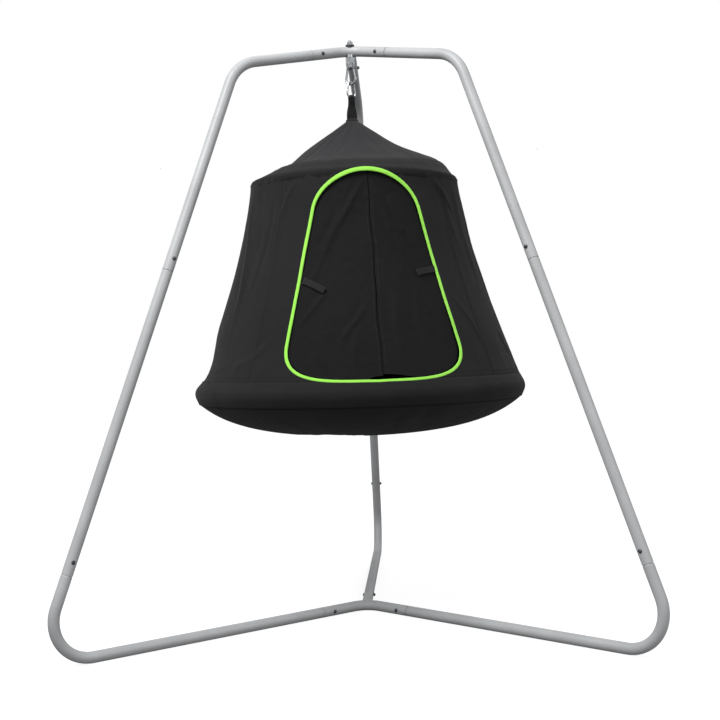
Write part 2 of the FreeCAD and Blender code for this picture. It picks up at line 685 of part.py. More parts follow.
welt = Part.makeTorus(S["shoulder_r"], S["welt_d"] / 2, Vector(0, 0, S["shoulder_height"]))
rod_bore = Part.makeTorus(S["shoulder_r"], S["rod_d"] / 2, Vector(0, 0, S["shoulder_height"]))
keep(plain(welt.cut(rod_bore), "welt"), "shoulder_welt", POD)
hoop_rod = doc.addObject("Part::Torus", name_of("hoop_rod"))
link(hoop_rod, "Radius1", "shoulder_r")
link(hoop_rod, "Radius2", "rod_d/2")
keep(hoop_rod, "upper_hoop_rod",
     Placement(Vector(0, 0, S["shoulder_height"]), Rotation(Vector(0, 0, 1), S["pod_turn"])))

# Lower sleeve: a flattened fabric tube round the hoop.
hz = S["hoop_height"]
hr = S["hoop_r"]
foot_r = wall_r(sleeve_top)
sleeve_outer = [(foot_r + 0.5, sleeve_top), (hr + 9, hz + 24), (hoop_out, hz + 2),
                (hr + 14, hz - 20), (hr + 4, sleeve_low)]
sleeve_inner = [(foot_r - 3.5, sleeve_top), (hr - 13, hz + 15), (hr - 14.5, hz - 2),
                (hr - 12, hz - 20), (hr - 1, sleeve_low)]
sleeve = spun(skin(sleeve_outer, sleeve_inner))
hoop_space = Part.makeTorus(hr, S["hoop_od"] / 2, Vector(0, 0, hz))
wall_band = spun(skin([(r, z) for r, z in wall_outer], wall_inner))
sleeve = sleeve.cut(hoop_space)
keep(plain(sleeve, "sleeve"), "hoop_sleeve", POD)

# Lower hoop: four curved tubes, each with a spigot in the next one.
quarter = 90.0
hoop_fit = S["spigot_fit"]


def hoop_sector(radius, sweep):
    face = Part.Face(Part.Wire(Part.makeCircle(radius, Vector(hr, 0, hz), Vector(0, 1, 0))))
    return face.revolve(Vector(0, 0, 0), Vector(0, 0, 1), sweep)


bore_r = S["hoop_id"] / 2
segment = hoop_sector(S["hoop_od"] / 2, quarter).cut(hoop_sector(bore_r, quarter))
spigot_arc = hoop_sector(bore_r - hoop_fit, S["hoop_spigot_deg"])
spigot_arc = spigot_arc.cut(hoop_sector(bore_r - hoop_fit - 1.5, S["hoop_spigot_deg"]))
weld = hoop_sector(S["hoop_od"] / 2 - 0.4, 0.4).cut(hoop_sector(bore_r - hoop_fit - 1.5, 0.4))
weld.rotate(Vector(0, 0, 0), Vector(0, 0, 1), quarter - 0.4)
spigot_arc.rotate(Vector(0, 0, 0), Vector(0, 0, 1), quarter)
segment = segment.fuse([weld, spigot_arc])
quarters = []
for i in range(4):
    one = segment.copy()
    one.rotate(Vector(0, 0, 0), Vector(0, 0, 1), quarter * i + 20)
    quarters.append(one)
keep(plain(Part.makeCompound(quarters), "lower_hoop"), "lower_hoop_tubes", POD)

# Roof: a plain cone of cloth from the tip to the welt.
slope = math.atan2(S["apex_height"] - S["shoulder_height"], S["shoulder_r"] - S["apex_r"])
lift = S["welt_d"] / 2 - 1.0
roof_edge = (S["shoulder_r"] + lift * math.sin(slope), S["shoulder_height"] + lift * math.cos(slope))
down = (-math.sin(slope) * cloth, -math.cos(slope) * cloth)
tip = (S["apex_r"], S["apex_height"])
roof_face = Part.Face(Part.makePolygon([Vector(x, 0, z) for x, z in (
    tip, roof_edge, (roof_edge[0] + down[0], roof_edge[1] + down[1]),
    (tip[0] + down[0], tip[1] + down[1]), tip)]))
roof = spun(roof_face).cut(welt)
cap_h = 7.0
roof_cap = Part.makeCylinder(S["apex_r"] + 1.5, cap_h, Vector(0, 0, S["apex_height"] - 2))
roof_solid = Part.makeCone(S["apex_r"] + 400, S["apex_r"], 400 * math.tan(slope),
                           Vector(0, 0, S["apex_height"] - 400 * math.tan(slope)))
roof_cap = roof_cap.cut([roof_solid, roof])
keep(plain(roof, "roof"), "roof", POD)
keep(plain(roof_cap, "roof_cap"), "roof_tip_patch", POD)
cap_top = S["apex_height"] - 2 + cap_h

# Hanging loop: one webbing strap over the hook wire, gathered at the top, sewn below.
fold = S["link_wire"] / 2 + S["web_slack"]
wt = S["web_t"]
loop_low = cap_top


def web_side(sign, z0, z1, x0, x1, w0, w1):
    """Tapering ply from one height to another, its thickness along local Y."""
    rows = []
    for x, w, z in ((x0, w0, z0), (x1, w1, z1)):
        y0, y1 = sign * x, sign * (x + wt)
        rows.append(Part.makePolygon([Vector(-w / 2, y0, z), Vector(w / 2, y0, z),
                                      Vector(w / 2, y1, z), Vector(-w / 2, y1, z),
                                      Vector(-w / 2, y0, z)]))
    return Part.makeLoft(rows, True, True)


bend_z = loop_z
loop_top = Part.makeCylinder(fold + wt, S["web_fold_w"], Vector(-S["web_fold_w"] / 2, 0, bend_z),
                             Vector(1, 0, 0))
loop_hole = Part.makeCylinder(fold, S["web_fold_w"] + 2,
                              Vector(-S["web_fold_w"] / 2 - 1, 0, bend_z), Vector(1, 0, 0))
below = Part.makeBox(60, 60, 60, Vector(-30, -30, bend_z - 60))
web = loop_top.cut(loop_hole).cut(below)
join_z = bend_z - 26
pieces = []
for sign in (1, -1):
    pieces.append(web_side(sign, bend_z, join_z, fold, 0.0, S["web_fold_w"], S["web_w"] * 0.8))
    pieces.append(web_side(sign, join_z, loop_low, 0.0, 0.0, S["web_w"] * 0.8, S["web_w"]))
web = web.fuse(pieces)
keep(plain(web, "web"), "hanging_loop", turned(S["link_turn"]))


# ---------------------------------------------------------------- door
def door_outline(inset):
    """Door edge seen from the front, as smooth curves, drawn in by inset."""
    sill, top = S["sill_height"] + inset, S["sill_height"] + S["door_height"] - inset
    low_half, high_half = S["door_low_half"] - inset, S["door_high_half"] - inset
    z_low = S["sill_height"] + S["door_low_rise"]
    z_high = S["sill_height"] + S["door_height"] - S["arch_rise"]
    side = (high_half - low_half, z_high - z_low)
    size = math.hypot(*side)
    run = Vector(side[0] / size, 0, side[1] / size)
    flat = Vector(-1, 0, 0)

    def smooth(a, ta, b, tb, swell):
        d = (b - a).Length * swell
        c = Part.BezierCurve()
        c.setPoles([a, a + ta * d, b - tb * d, b])
        return c

    low = Vector(low_half, 0, z_low)
    high = Vector(high_half, 0, z_high)
    crown = Vector(0, 0, top)
    foot = Vector(0, 0, sill)
    arch = smooth(high, run, crown, flat, 0.36)
    corner = smooth(foot, Vector(1, 0, 0.04).normalize(), low, run, 0.45)
    right = [corner, Part.LineSegment(low, high), arch]
    return right


def on_wall(x, z, out=0.0):
    r = wall_r(z) + out
    return Vector(x, -math.sqrt(max(r * r - x * x, 0)), z)


def outline_points(inset, n):
    pts = []
    for c in door_outline(inset):
        first, last = c.FirstParameter, c.LastParameter
        for i in range(n):
            pts.append(c.value(first + (last - first) * i / n))
    pts.append(door_outline(inset)[-1].value(door_outline(inset)[-1].LastParameter))
    return pts


def prism(inset, left=True, right=True, part=0.0):
    """Door-shaped block through the front wall."""
    half = outline_points(inset, 8)
    pts = []
    if right:
        pts += [Vector(max(p.x, part / 2), 0, p.z) for p in half]
    if left:
        pts += [Vector(min(-p.x, -part / 2), 0, p.z) for p in reversed(half)]
    clean = [pts[0]]
    for p in pts[1:]:
        if (p - clean[-1]).Length > 0.2:
            clean.append(p)
    if (clean[0] - clean[-1]).Length < 0.2:
        clean.pop()
    face = Part.Face(Part.makePolygon(clean + [clean[0]]))
    return face.extrude(Vector(0, -900, 0))


half_piping = S["piping_w"] / 2
proud = (S["piping_t"] - cloth) / 2
band_outer = [(r + proud, z) for r, z in wall_outer]
band_inner = [(r - cloth - proud, z) for r, z in wall_outer]
piping = spun(skin(band_outer, band_inner), 100, -140)
piping = piping.common(prism(-half_piping)).cut(prism(half_piping)).cut([sleeve, welt])
keep(plain(piping, "piping"), "door_piping", POD)

panel = 90.0
front = spun(wall_face, panel, -90 - panel / 2).cut([prism(-half_piping), sleeve, welt])
halves = sorted(front.Solids, key=lambda one: one.CenterOfMass.x)
keep(plain(halves[0], "front_wall"), "wall_front_left", POD)
keep(plain(halves[-1], "front_wall"), "wall_front_right", POD)
for side, start in (("right", -45), ("back", 45), ("left", 135)):
    keep(plain(spun(wall_face, panel, start).cut([sleeve, welt]), "wall"), "wall_" + side, POD)

flap_inset = half_piping + S["flap_gap"]
flap_outer = [(r - S["flap_in"], z) for r, z in wall_outer]
flap_inner = [(r - cloth, z) for r, z in flap_outer]
flap_band = spun(skin(flap_outer, flap_inner), 100, -140)
for side, is_left in (("left", True), ("right", False)):
    flap = flap_band.common(prism(flap_inset, is_left, not is_left, S["flap_part"]))
    keep(plain(flap, "flap"), "door_flap_" + side, POD)


def tab(sign):
    """Short webbing tab lying on a flap, following its curve."""
    band = skin([(r + S["tab_t"], z) for r, z in flap_outer], flap_outer)
    shell = spun(band, 100, -140)
    z_mid = S["tab_height"] + (0 if sign < 0 else S["tab_rise"])
    half = S["tab_len"] / 2
    z_end = z_mid + half * math.sin(math.radians(S["tab_slope"])) + S["tab_w"] / 2
    edge_x = S["door_low_half"] + (S["door_high_half"] - S["door_low_half"]) * (
        (z_end - S["sill_height"] - S["door_low_rise"])
        / (S["door_height"] - S["arch_rise"] - S["door_low_rise"]))
    mid_x = sign * (edge_x - flap_inset - 3 - half * math.cos(math.radians(S["tab_slope"])))
    box = Part.makeBox(S["tab_len"], 900, S["tab_w"], Vector(-half, -900, -S["tab_w"] / 2))
    tilt = -S["tab_slope"] if sign < 0 else S["tab_slope"]
    box.rotate(Vector(0, 0, 0), Vector(0, 1, 0), -tilt)
    box.translate(Vector(mid_x, 0, z_mid))
    return shell.common(box)


keep(plain(tab(-1), "tab"), "tie_tab_left", POD)
keep(plain(tab(1), "tab"), "tie_tab_right", POD)

# Bowl floor: a sagging dish sewn to the underside of the sleeve.
low_z = hz - S["bowl_drop"]
rim = hr + 3.0


def bowl_z(r):
    share = min(r / rim, 1.0)
    return low_z + (sleeve_low - low_z) * (0.40 * share ** 2 + 0.45 * share ** 4
                                           + 0.15 * share ** 9)


radii = [rim * math.sin(math.pi / 2 * i / 10) for i in range(11)]
under = [(r, bowl_z(r)) for r in radii]
over = [(r, z + 3.0) for r, z in under[:-1]] + [(rim - 3.0, sleeve_low)]
bowl_face = Part.Face(Part.Wire([curve(under), line(under[-1], over[-1]),
                                 curve(over[::-1]), line(over[0], under[0])]))
bowl = spun(bowl_face).cut(sleeve)
keep(plain(bowl, "bowl"), "bowl_floor", POD)

# Load straps: sewn inside the four wall seams, from the tip to the sleeve.
st = S["strap_t"]
strap_outer = [(r - cloth, z) for r, z in wall_outer]
strap_inner = [(r - cloth - st, z) for r, z in wall_outer]
strap_wall = spun(skin(strap_outer, strap_inner)).cut(welt).cut(sleeve)
roof_in = [(tip[0] + down[0], tip[1] + down[1]),
           (roof_edge[0] + down[0], roof_edge[1] + down[1])]
step_in = (down[0] * st / cloth, down[1] * st / cloth)
under_face = Part.Face(Part.makePolygon([Vector(x, 0, z) for x, z in (
    roof_in[0], roof_in[1], (roof_in[1][0] + step_in[0], roof_in[1][1] + step_in[1]),
    (roof_in[0][0] + step_in[0], roof_in[0][1] + step_in[1]), roof_in[0])]))
strap_roof = spun(under_face).cut(welt)
straps = []
for i in range(4):
    slab_box = Part.makeBox(700, S["strap_w"], 1200, Vector(0, -S["strap_w"] / 2, 600))
    slab_box.rotate(Vector(0, 0, 0), Vector(0, 0, 1), 45 + 90 * i)
    for shell in (strap_wall, strap_roof):
        piece = shell.common(slab_box)
        straps += piece.Solids
keep(plain(Part.makeCompound(straps), "straps"), "load_straps", POD)

doc.recompute()
for obj in doc.Objects:
    if "Invalid" in obj.State or "Error" in obj.State:
        raise RuntimeError("%s did not build" % obj.Label)
labels = [obj.Label for obj in NODES]
if len(set(labels)) != len(labels):
    raise RuntimeError("two pieces share a name")
os.makedirs("parts", exist_ok=True)
for obj in NODES:
    if obj.Shape.isNull() or not obj.Shape.isValid() or not obj.Shape.Solids:
        raise RuntimeError("%s has no sound solid" % obj.Label)
    obj.Shape.exportStep("parts/%s.step" % obj.Label)
print("%d pieces written" % len(NODES))
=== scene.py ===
import bpy
import bmesh
import json
import math
import numpy as np
from mathutils import Matrix, Vector, noise


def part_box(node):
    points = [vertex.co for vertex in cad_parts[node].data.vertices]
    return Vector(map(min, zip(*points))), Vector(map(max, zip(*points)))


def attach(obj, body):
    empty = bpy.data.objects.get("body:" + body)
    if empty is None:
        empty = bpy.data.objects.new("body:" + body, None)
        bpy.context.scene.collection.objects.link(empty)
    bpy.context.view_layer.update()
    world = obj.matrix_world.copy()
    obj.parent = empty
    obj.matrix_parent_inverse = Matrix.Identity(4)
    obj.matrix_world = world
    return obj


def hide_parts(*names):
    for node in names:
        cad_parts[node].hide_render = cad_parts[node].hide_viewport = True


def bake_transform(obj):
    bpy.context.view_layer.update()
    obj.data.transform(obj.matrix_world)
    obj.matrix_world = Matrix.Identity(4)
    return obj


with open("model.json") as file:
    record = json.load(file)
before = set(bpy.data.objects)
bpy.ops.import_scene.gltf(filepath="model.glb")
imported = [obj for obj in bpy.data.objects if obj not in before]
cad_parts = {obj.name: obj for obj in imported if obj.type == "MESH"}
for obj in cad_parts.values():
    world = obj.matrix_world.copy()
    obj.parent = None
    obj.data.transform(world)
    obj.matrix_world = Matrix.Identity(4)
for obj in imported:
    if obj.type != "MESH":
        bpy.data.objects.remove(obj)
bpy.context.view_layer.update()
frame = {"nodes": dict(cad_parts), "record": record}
record = frame["record"]
print("stage: frame loaded,", len(frame["nodes"]), "pieces")

scene = bpy.context.scene


def hexColour(code):
    code = code.lstrip("#")
    out = []
    for i in (0, 2, 4):
        c = int(code[i:i + 2], 16) / 255
        out.append(c / 12.92 if c <= 0.04045 else ((c + 0.055) / 1.055) ** 2.4)
    return (*out, 1.0)


def mix(a, b, t):
    return a + (b - a) * t


def meshObject(name, verts, faces, uvs=None, shade=True):
    mesh = bpy.data.meshes.new(name)
    mesh.from_pydata([tuple(v) for v in verts], [], faces)
    mesh.validate()
    if uvs is not None:
        layer = mesh.uv_layers.new(name="cloth")
        for loop in mesh.loops:
            layer.data[loop.index].uv = uvs[loop.vertex_index]
    if shade:
        mesh.shade_smooth()
    obj = bpy.data.objects.new(name, mesh)
    scene.collection.objects.link(obj)
    return obj


def finishWith(obj, material):
    obj.data.materials.clear()
    obj.data.materials.append(material)
    return obj


def thicken(obj, thickness, offset=-1.0):
    mod = obj.modifiers.new("thickness", "SOLIDIFY")
    mod.thickness = thickness
    mod.offset = offset
    mod.use_even_offset = False
    return bake(obj)


def bake(obj):
    graph = bpy.context.evaluated_depsgraph_get()
    mesh = bpy.data.meshes.new_from_object(obj.evaluated_get(graph))
    obj.modifiers.clear()
    old = obj.data
    obj.data = mesh
    bpy.data.meshes.remove(old)
    return obj


def addNode(tree, kind, place=(0, 0), **settings):
    node = tree.nodes.new(kind)
    node.location = place
    for key, value in settings.items():
        setattr(node, key, value)
    return node


def newMaterial(name, roughness=0.5, metallic=0.0, colour="#808080", **sockets):
    material = bpy.data.materials.new(name)
    material.use_nodes = True
    tree = material.node_tree
    shader = tree.nodes["Principled BSDF"]
    shader.inputs["Base Color"].default_value = hexColour(colour)
    shader.inputs["Roughness"].default_value = roughness
    shader.inputs["Metallic"].default_value = metallic
    for key, value in sockets.items():
        shader.inputs[key.replace("_", " ")].default_value = value
    return material, tree, shader


def colourNoise(tree, shader, coord, scale, dark, light, low=0.35, high=0.65, detail=3.0):
    link = tree.links.new
    n = addNode(tree, "ShaderNodeTexNoise", (-700, 300))
    n.inputs["Scale"].default_value = scale
    n.inputs["Detail"].default_value = detail
    link(coord, n.inputs["Vector"])
    ramp = addNode(tree, "ShaderNodeValToRGB", (-450, 300))
    ramp.color_ramp.elements[0].position = low
    ramp.color_ramp.elements[0].color = hexColour(dark)
    ramp.color_ramp.elements[1].position = high
    ramp.color_ramp.elements[1].color = hexColour(light)
    link(n.outputs["Fac"], ramp.inputs["Fac"])
    link(ramp.outputs["Color"], shader.inputs["Base Color"])
    return ramp


def roughNoise(tree, shader, coord, scale, low, high):
    link = tree.links.new
    n = addNode(tree, "ShaderNodeTexNoise", (-700, 0))
    n.inputs["Scale"].default_value = scale
    link(coord, n.inputs["Vector"])
    m = addNode(tree, "ShaderNodeMapRange", (-450, 0))
    m.inputs["To Min"].default_value = low
    m.inputs["To Max"].default_value = high
    link(n.outputs["Fac"], m.inputs["Value"])
    link(m.outputs["Result"], shader.inputs["Roughness"])


def bumpFrom(tree, shader, height, strength, distance):
    bump = addNode(tree, "ShaderNodeBump", (-200, -300))
    bump.inputs["Strength"].default_value = strength
    bump.inputs["Distance"].default_value = distance
    tree.links.new(height, bump.inputs["Height"])
    tree.links.new(bump.outputs["Normal"], shader.inputs["Normal"])


def powderCoat(name, dark, light):
    # satin powder coat with a fine orange peel and faint handling marks
    material, tree, shader = newMaterial(name, 0.42, 0.0, light, Specular_IOR_Level=0.45)
    coord = addNode(tree, "ShaderNodeTexCoord", (-1000, 0)).outputs["Object"]
    colourNoise(tree, shader, coord, 6.0, dark, light, 0.3, 0.7, 4.0)
    roughNoise(tree, shader, coord, 25.0, 0.36, 0.50)
    peel = addNode(tree, "ShaderNodeTexNoise", (-700, -300))
    peel.inputs["Scale"].default_value = 700.0
    tree.links.new(coord, peel.inputs["Vector"])
    bumpFrom(tree, shader, peel.outputs["Fac"], 0.12, 0.0004)
    return material


def platedSteel(name, dark, light, low, high):
    # bright zinc plate, slightly cloudy, with fine drawing marks
    material, tree, shader = newMaterial(name, 0.3, 1.0, light)
    coord = addNode(tree, "ShaderNodeTexCoord", (-1000, 0)).outputs["Object"]
    colourNoise(tree, shader, coord, 90.0, dark, light, 0.3, 0.7, 4.0)
    roughNoise(tree, shader, coord, 160.0, low, high)
    marks = addNode(tree, "ShaderNodeTexNoise", (-700, -300))
    marks.inputs["Scale"].default_value = 1500.0
    tree.links.new(coord, marks.inputs["Vector"])
    bumpFrom(tree, shader, marks.outputs["Fac"], 0.08, 0.0002)
    return material


def wovenCloth(name, dark, light, thread, roughness, sheen, strength=0.35, patches=3.0):
    # plain weave: two crossed sets of threads on the cloth's own metre-scaled map
    material, tree, shader = newMaterial(name, roughness, 0.0, light, Sheen_Weight=sheen,
                                         Sheen_Roughness=0.5, Specular_IOR_Level=0.16)
    link = tree.links.new
    texture = addNode(tree, "ShaderNodeTexCoord", (-1300, 0))
    colourNoise(tree, shader, texture.outputs["Object"], patches, dark, light, 0.3, 0.7, 5.0)
    waves = []
    for direction, y in (("X", -200), ("Y", -450)):
        w = addNode(tree, "ShaderNodeTexWave", (-900, y), wave_type="BANDS",
                    bands_direction=direction, wave_profile="SIN")
        w.inputs["Scale"].default_value = 0.314 / thread
        w.inputs["Distortion"].default_value = 0.4
        w.inputs["Detail Scale"].default_value = 2.0
        link(texture.outputs["UV"], w.inputs["Vector"])
        waves.append(w)
    weave = addNode(tree, "ShaderNodeMath", (-650, -300), operation="MULTIPLY")
    link(waves[0].outputs["Fac"], weave.inputs[0])
    link(waves[1].outputs["Fac"], weave.inputs[1])
    crumple = addNode(tree, "ShaderNodeTexNoise", (-900, -700))
    crumple.inputs["Scale"].default_value = 40.0
    crumple.inputs["Detail"].default_value = 5.0
    link(texture.outputs["Object"], crumple.inputs["Vector"])
    both = addNode(tree, "ShaderNodeMath", (-450, -400), operation="MULTIPLY_ADD")
    link(crumple.outputs["Fac"], both.inputs[0])
    both.inputs[1].default_value = 3.0
    link(weave.outputs["Value"], both.inputs[2])
    bumpFrom(tree, shader, both.outputs["Value"], strength, 0.0007)
    return material


def mouldedBlack(name, colour, roughness):
    material, tree, shader = newMaterial(name, roughness, 0.0, colour)
    coord = addNode(tree, "ShaderNodeTexCoord", (-1000, 0)).outputs["Object"]
    grain = addNode(tree, "ShaderNodeTexNoise", (-700, -300))
    grain.inputs["Scale"].default_value = 900.0
    tree.links.new(coord, grain.inputs["Vector"])
    colourNoise(tree, shader, coord, 60.0, colour, "#2a2a2b", 0.4, 0.9)
    bumpFrom(tree, shader, grain.outputs["Fac"], 0.2, 0.0003)
    return material


paintGrey = powderCoat("light grey powder coat", "#a4a6a8", "#b3b5b7")
hoopPaint = powderCoat("black hoop paint", "#161617", "#1e1e1f")
zincPlate = platedSteel("bright zinc plate", "#a3a6a9", "#c4c7ca", 0.20, 0.34)
boltSteel = platedSteel("dull bolt steel", "#3f4144", "#63666a", 0.30, 0.45)
rubberBlack = mouldedBlack("black moulded rubber", "#151516", 0.55)
glassRod = mouldedBlack("glass fibre rod", "#c9c6b8", 0.45)
podCloth = wovenCloth("charcoal nylon", "#18181a", "#1f1f20", 0.0011, 0.80, 0.05)
# darker copy of the charcoal nylon: painted shade on the pod's underside, which hangs in shadow
bowlShadeCloth = wovenCloth("charcoal nylon underside, painted shade", "#141415", "#19191a", 0.0011, 0.82, 0.05)
flapCloth = wovenCloth("black curtain nylon", "#0c0c0d", "#121213", 0.0009, 0.78, 0.03)
webbing = wovenCloth("black webbing", "#151516", "#1d1d1e", 0.0024, 0.7, 0.12, 0.6)
limeTape = wovenCloth("lime green binding", "#95e34e", "#a5ee5e", 0.0012, 0.55, 0.15, 0.4)
blackThread = wovenCloth("black sewing thread", "#222223", "#343435", 0.0006, 0.6, 0.2)
greyThread = wovenCloth("charcoal sewing thread", "#161617", "#1c1c1d", 0.0006, 0.8, 0.03)
# lighter copy of the charcoal nylon: painted light on the roof, which faces the lamps above
roofLitNylon = wovenCloth("charcoal nylon, roof with painted light", "#1d1d1f", "#242426", 0.0011, 0.78, 0.07)
limeThread = wovenCloth("lime sewing thread", "#7cc93f", "#98e458", 0.0006, 0.6, 0.2)
print("stage: materials made")

slotFinish = {
    "stand_paint": paintGrey, "zinc_steel": zincPlate, "saddle_rubber": rubberBlack,
    "hoop_paint": hoopPaint, "rod_fibreglass": glassRod, "pod_cloth": podCloth,
    "flap_cloth": flapCloth, "webbing": webbing, "lime_piping": limeTape,
}
nodeFinish = {"frame_bolts": boltSteel, "frame_nuts": boltSteel}
for part in record["subparts"]:
    node = frame["nodes"][part["node"]]
    for slot in node.material_slots:
        slot.material = nodeFinish.get(part["node"], slotFinish[part["material_slot"]])


view = {
    "distance": 4.03, "across": 0.0013, "height": 0.9272, "back": 0.020,
    "turn": 0.0521, "pitch": 0.0121, "roll": 0.030, "lens": 57.25,
}


def placeCamera():
    turn = Matrix.Rotation(view["turn"], 3, "Z")
    spot = turn @ Vector((view["across"], -view["distance"], view["height"]))
    spot.y += view["back"]
    right, ahead, up = turn @ Vector((1, 0, 0)), turn @ Vector((0, 1, 0)), Vector((0, 0, 1))
    cp, sp = math.cos(view["pitch"]), math.sin(view["pitch"])
    look = ahead * cp - up * sp
    top = up * cp + ahead * sp
    cr, sr = math.cos(view["roll"]), math.sin(view["roll"])
    camRight = right * cr - top * sr
    camUp = right * sr + top * cr
    data = bpy.data.cameras.new("camera")
    data.lens = view["lens"]
    data.sensor_width = 36.0
    data.clip_end = 200.0
    cam = bpy.data.objects.new("camera", data)
    m = Matrix((camRight, camUp, -look)).transposed().to_4x4()
    m.translation = spot
    cam.matrix_world = m
    scene.collection.objects.link(cam)
    scene.camera = cam


studio = {
    "keySize": 2.2, "keyPower": 185.0, "keyPlace": (-1.6, -2.4, 4.4),
    "fillSize": 3.0, "fillPower": 40.0, "fillPlace": (3.2, -3.0, 2.6),
    "backdrop": 1.0, "world": 0.58, "floor": "#8c8c8c", "floorGlow": 0.87, "exposure": 0.0,
}


def areaLight(name, place, aim, size, power):
    data = bpy.data.lights.new(name, "AREA")
    data.shape = "SQUARE"
    data.size = size
    data.energy = power
    obj = bpy.data.objects.new(name, data)
    obj.location = place
    obj.rotation_euler = (Vector(aim) - Vector(place)).to_track_quat("-Z", "Y").to_euler()
    scene.collection.objects.link(obj)
    return obj


def makeStudio():
    world = bpy.data.worlds.new("studio")
    world.use_nodes = True
    world.node_tree.nodes["Background"].inputs["Color"].default_value = (1, 1, 1, 1)
    # the backdrop shows white, but lights the scene more softly than it shows
    tree = world.node_tree
    sight = tree.nodes.new("ShaderNodeLightPath")
    level = tree.nodes.new("ShaderNodeMapRange")
    level.inputs["To Min"].default_value = studio["world"]
    level.inputs["To Max"].default_value = studio["backdrop"]
    tree.links.new(sight.outputs["Is Camera Ray"], level.inputs["Value"])
    tree.links.new(level.outputs["Result"], tree.nodes["Background"].inputs["Strength"])
    scene.world = world
    areaLight("key", studio["keyPlace"], (0, 0, 1.0), studio["keySize"], studio["keyPower"])
    areaLight("fill", studio["fillPlace"], (0, 0, 0.9), studio["fillSize"], studio["fillPower"])
    r = 30.0
    floor = meshObject("floor", [(-r, -r, 0), (r, -r, 0), (r, r, 0), (-r, r, 0)],
                       [(0, 1, 2, 3)], shade=False)
    paint, tree, shader = newMaterial("pale studio floor", 1.0, 0.0, studio["floor"],
                                      Specular_IOR_Level=0.0)
    shader.inputs["Emission Color"].default_value = (1, 1, 1, 1)
    sight = addNode(tree, "ShaderNodeLightPath", (-500, 0))
    level = addNode(tree, "ShaderNodeMath", (-250, 0), operation="MULTIPLY")
    level.inputs[1].default_value = studio["floorGlow"]
    tree.links.new(sight.outputs["Is Camera Ray"], level.inputs[0])
    tree.links.new(level.outputs["Value"], shader.inputs["Emission Strength"])
    finishWith(floor, paint)
    scene.view_settings.view_transform = "Standard"
    scene.view_settings.exposure = studio["exposure"]


placeCamera()
makeStudio()
print("stage: camera and studio placed")

# the pod's round shape, read from the frame
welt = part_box("shoulder_welt")
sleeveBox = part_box("hoop_sleeve")
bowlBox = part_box("bowl_floor")
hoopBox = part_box("lower_hoop_tubes")
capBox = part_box("roof_tip_patch")
pod = {
    "turn": math.radians(9.0),               # doorway turned from straight ahead
    "shoulderRadius": (welt[1].x - welt[0].x) / 2,
    "shoulderHeight": (welt[1].z + welt[0].z) / 2,
    "hoopRadius": (hoopBox[1].x - hoopBox[0].x) / 2 - 0.011,
    "hoopHeight": (hoopBox[1].z + hoopBox[0].z) / 2,
    "sleeveTop": sleeveBox[1].z,
    "sleeveLow": sleeveBox[0].z,
    "cloth": 0.0016,
    "flare": (0.379, 0.957, -0.336),         # how fast the wall spreads from shoulder to hoop
}
pod["wallFoot"] = pod["hoopRadius"] - 0.002
tau = 2 * math.pi


def wallRadius(z):
    t = (pod["shoulderHeight"] - z) / (pod["shoulderHeight"] - pod["sleeveTop"])
    t = np.clip(t, -0.2, 1.3)
    a, b, c = pod["flare"]
    share = a * t + b * t ** 2 + c * t ** 3
    return pod["shoulderRadius"] + (pod["wallFoot"] - pod["shoulderRadius"]) * share


def around(psi, r, z):
    a = psi + pod["turn"]
    return np.stack([r * np.sin(a), -r * np.cos(a), z + 0 * a], -1)


def outFrom(psi):
    # level direction straight out of the pod
    a = psi + pod["turn"]
    return np.stack([np.sin(a), -np.cos(a), 0 * a], 1)


def onWall(psi, z, out=0.0):
    return around(psi, wallRadius(z) + out, z)


def softNoise(points, scale, seed=0.0):
    shift = Vector((seed, seed * 1.7, -seed))
    return np.array([noise.noise(Vector(p) * scale + shift) for p in points])


def runAlong(points):
    # length of a path up to each of its points
    return np.concatenate([[0], np.cumsum(np.linalg.norm(np.diff(points, axis=0), axis=1))])


def step(x):
    x = np.clip(x, 0.0, 1.0)
    return x * x * (3 - 2 * x)


def foldField(psi, z, folds, low, high):
    # pushes cloth out or in along drawn folds; each is width, depth, sharpness and its points
    out = np.zeros_like(psi)
    r = wallRadius(z)
    for width, depth, sharp, points in folds:
        best = np.full_like(psi, 1e9)
        along = np.zeros_like(psi)
        side = np.zeros_like(psi)
        pts = [(math.radians(a), h) for a, h in points]
        total = 0.0
        for (a0, z0), (a1, z1) in zip(pts, pts[1:]):
            mid = float(wallRadius((z0 + z1) / 2))
            dx, dz = (a1 - a0) * mid, z1 - z0
            size = math.hypot(dx, dz)
            px, pz = (psi - a0) * r, z - z0
            t = np.clip((px * dx + pz * dz) / size ** 2, 0, 1)
            d = np.hypot(px - t * dx, pz - t * dz)
            near = d < best
            best = np.where(near, d, best)
            along = np.where(near, total + t * size, along)
            side = np.where(near, np.sign(px * dz - pz * dx), side)
            total += size
        fade = step(along / (0.25 * total)) * step((total - along) / (0.3 * total))
        fade = 0.12 + 0.88 * fade
        x = best / width
        ridge = np.exp(-x ** sharp)
        trough = -0.55 * np.exp(-((best - 1.5 * width) / width) ** 2) * (side > 0)
        end = np.clip(1 - x / 4, 0, 1)
        out += depth * fade * (ridge + trough) * end
    edge = step((z - low) / 0.05) * step((high - z) / 0.06)
    return out * edge


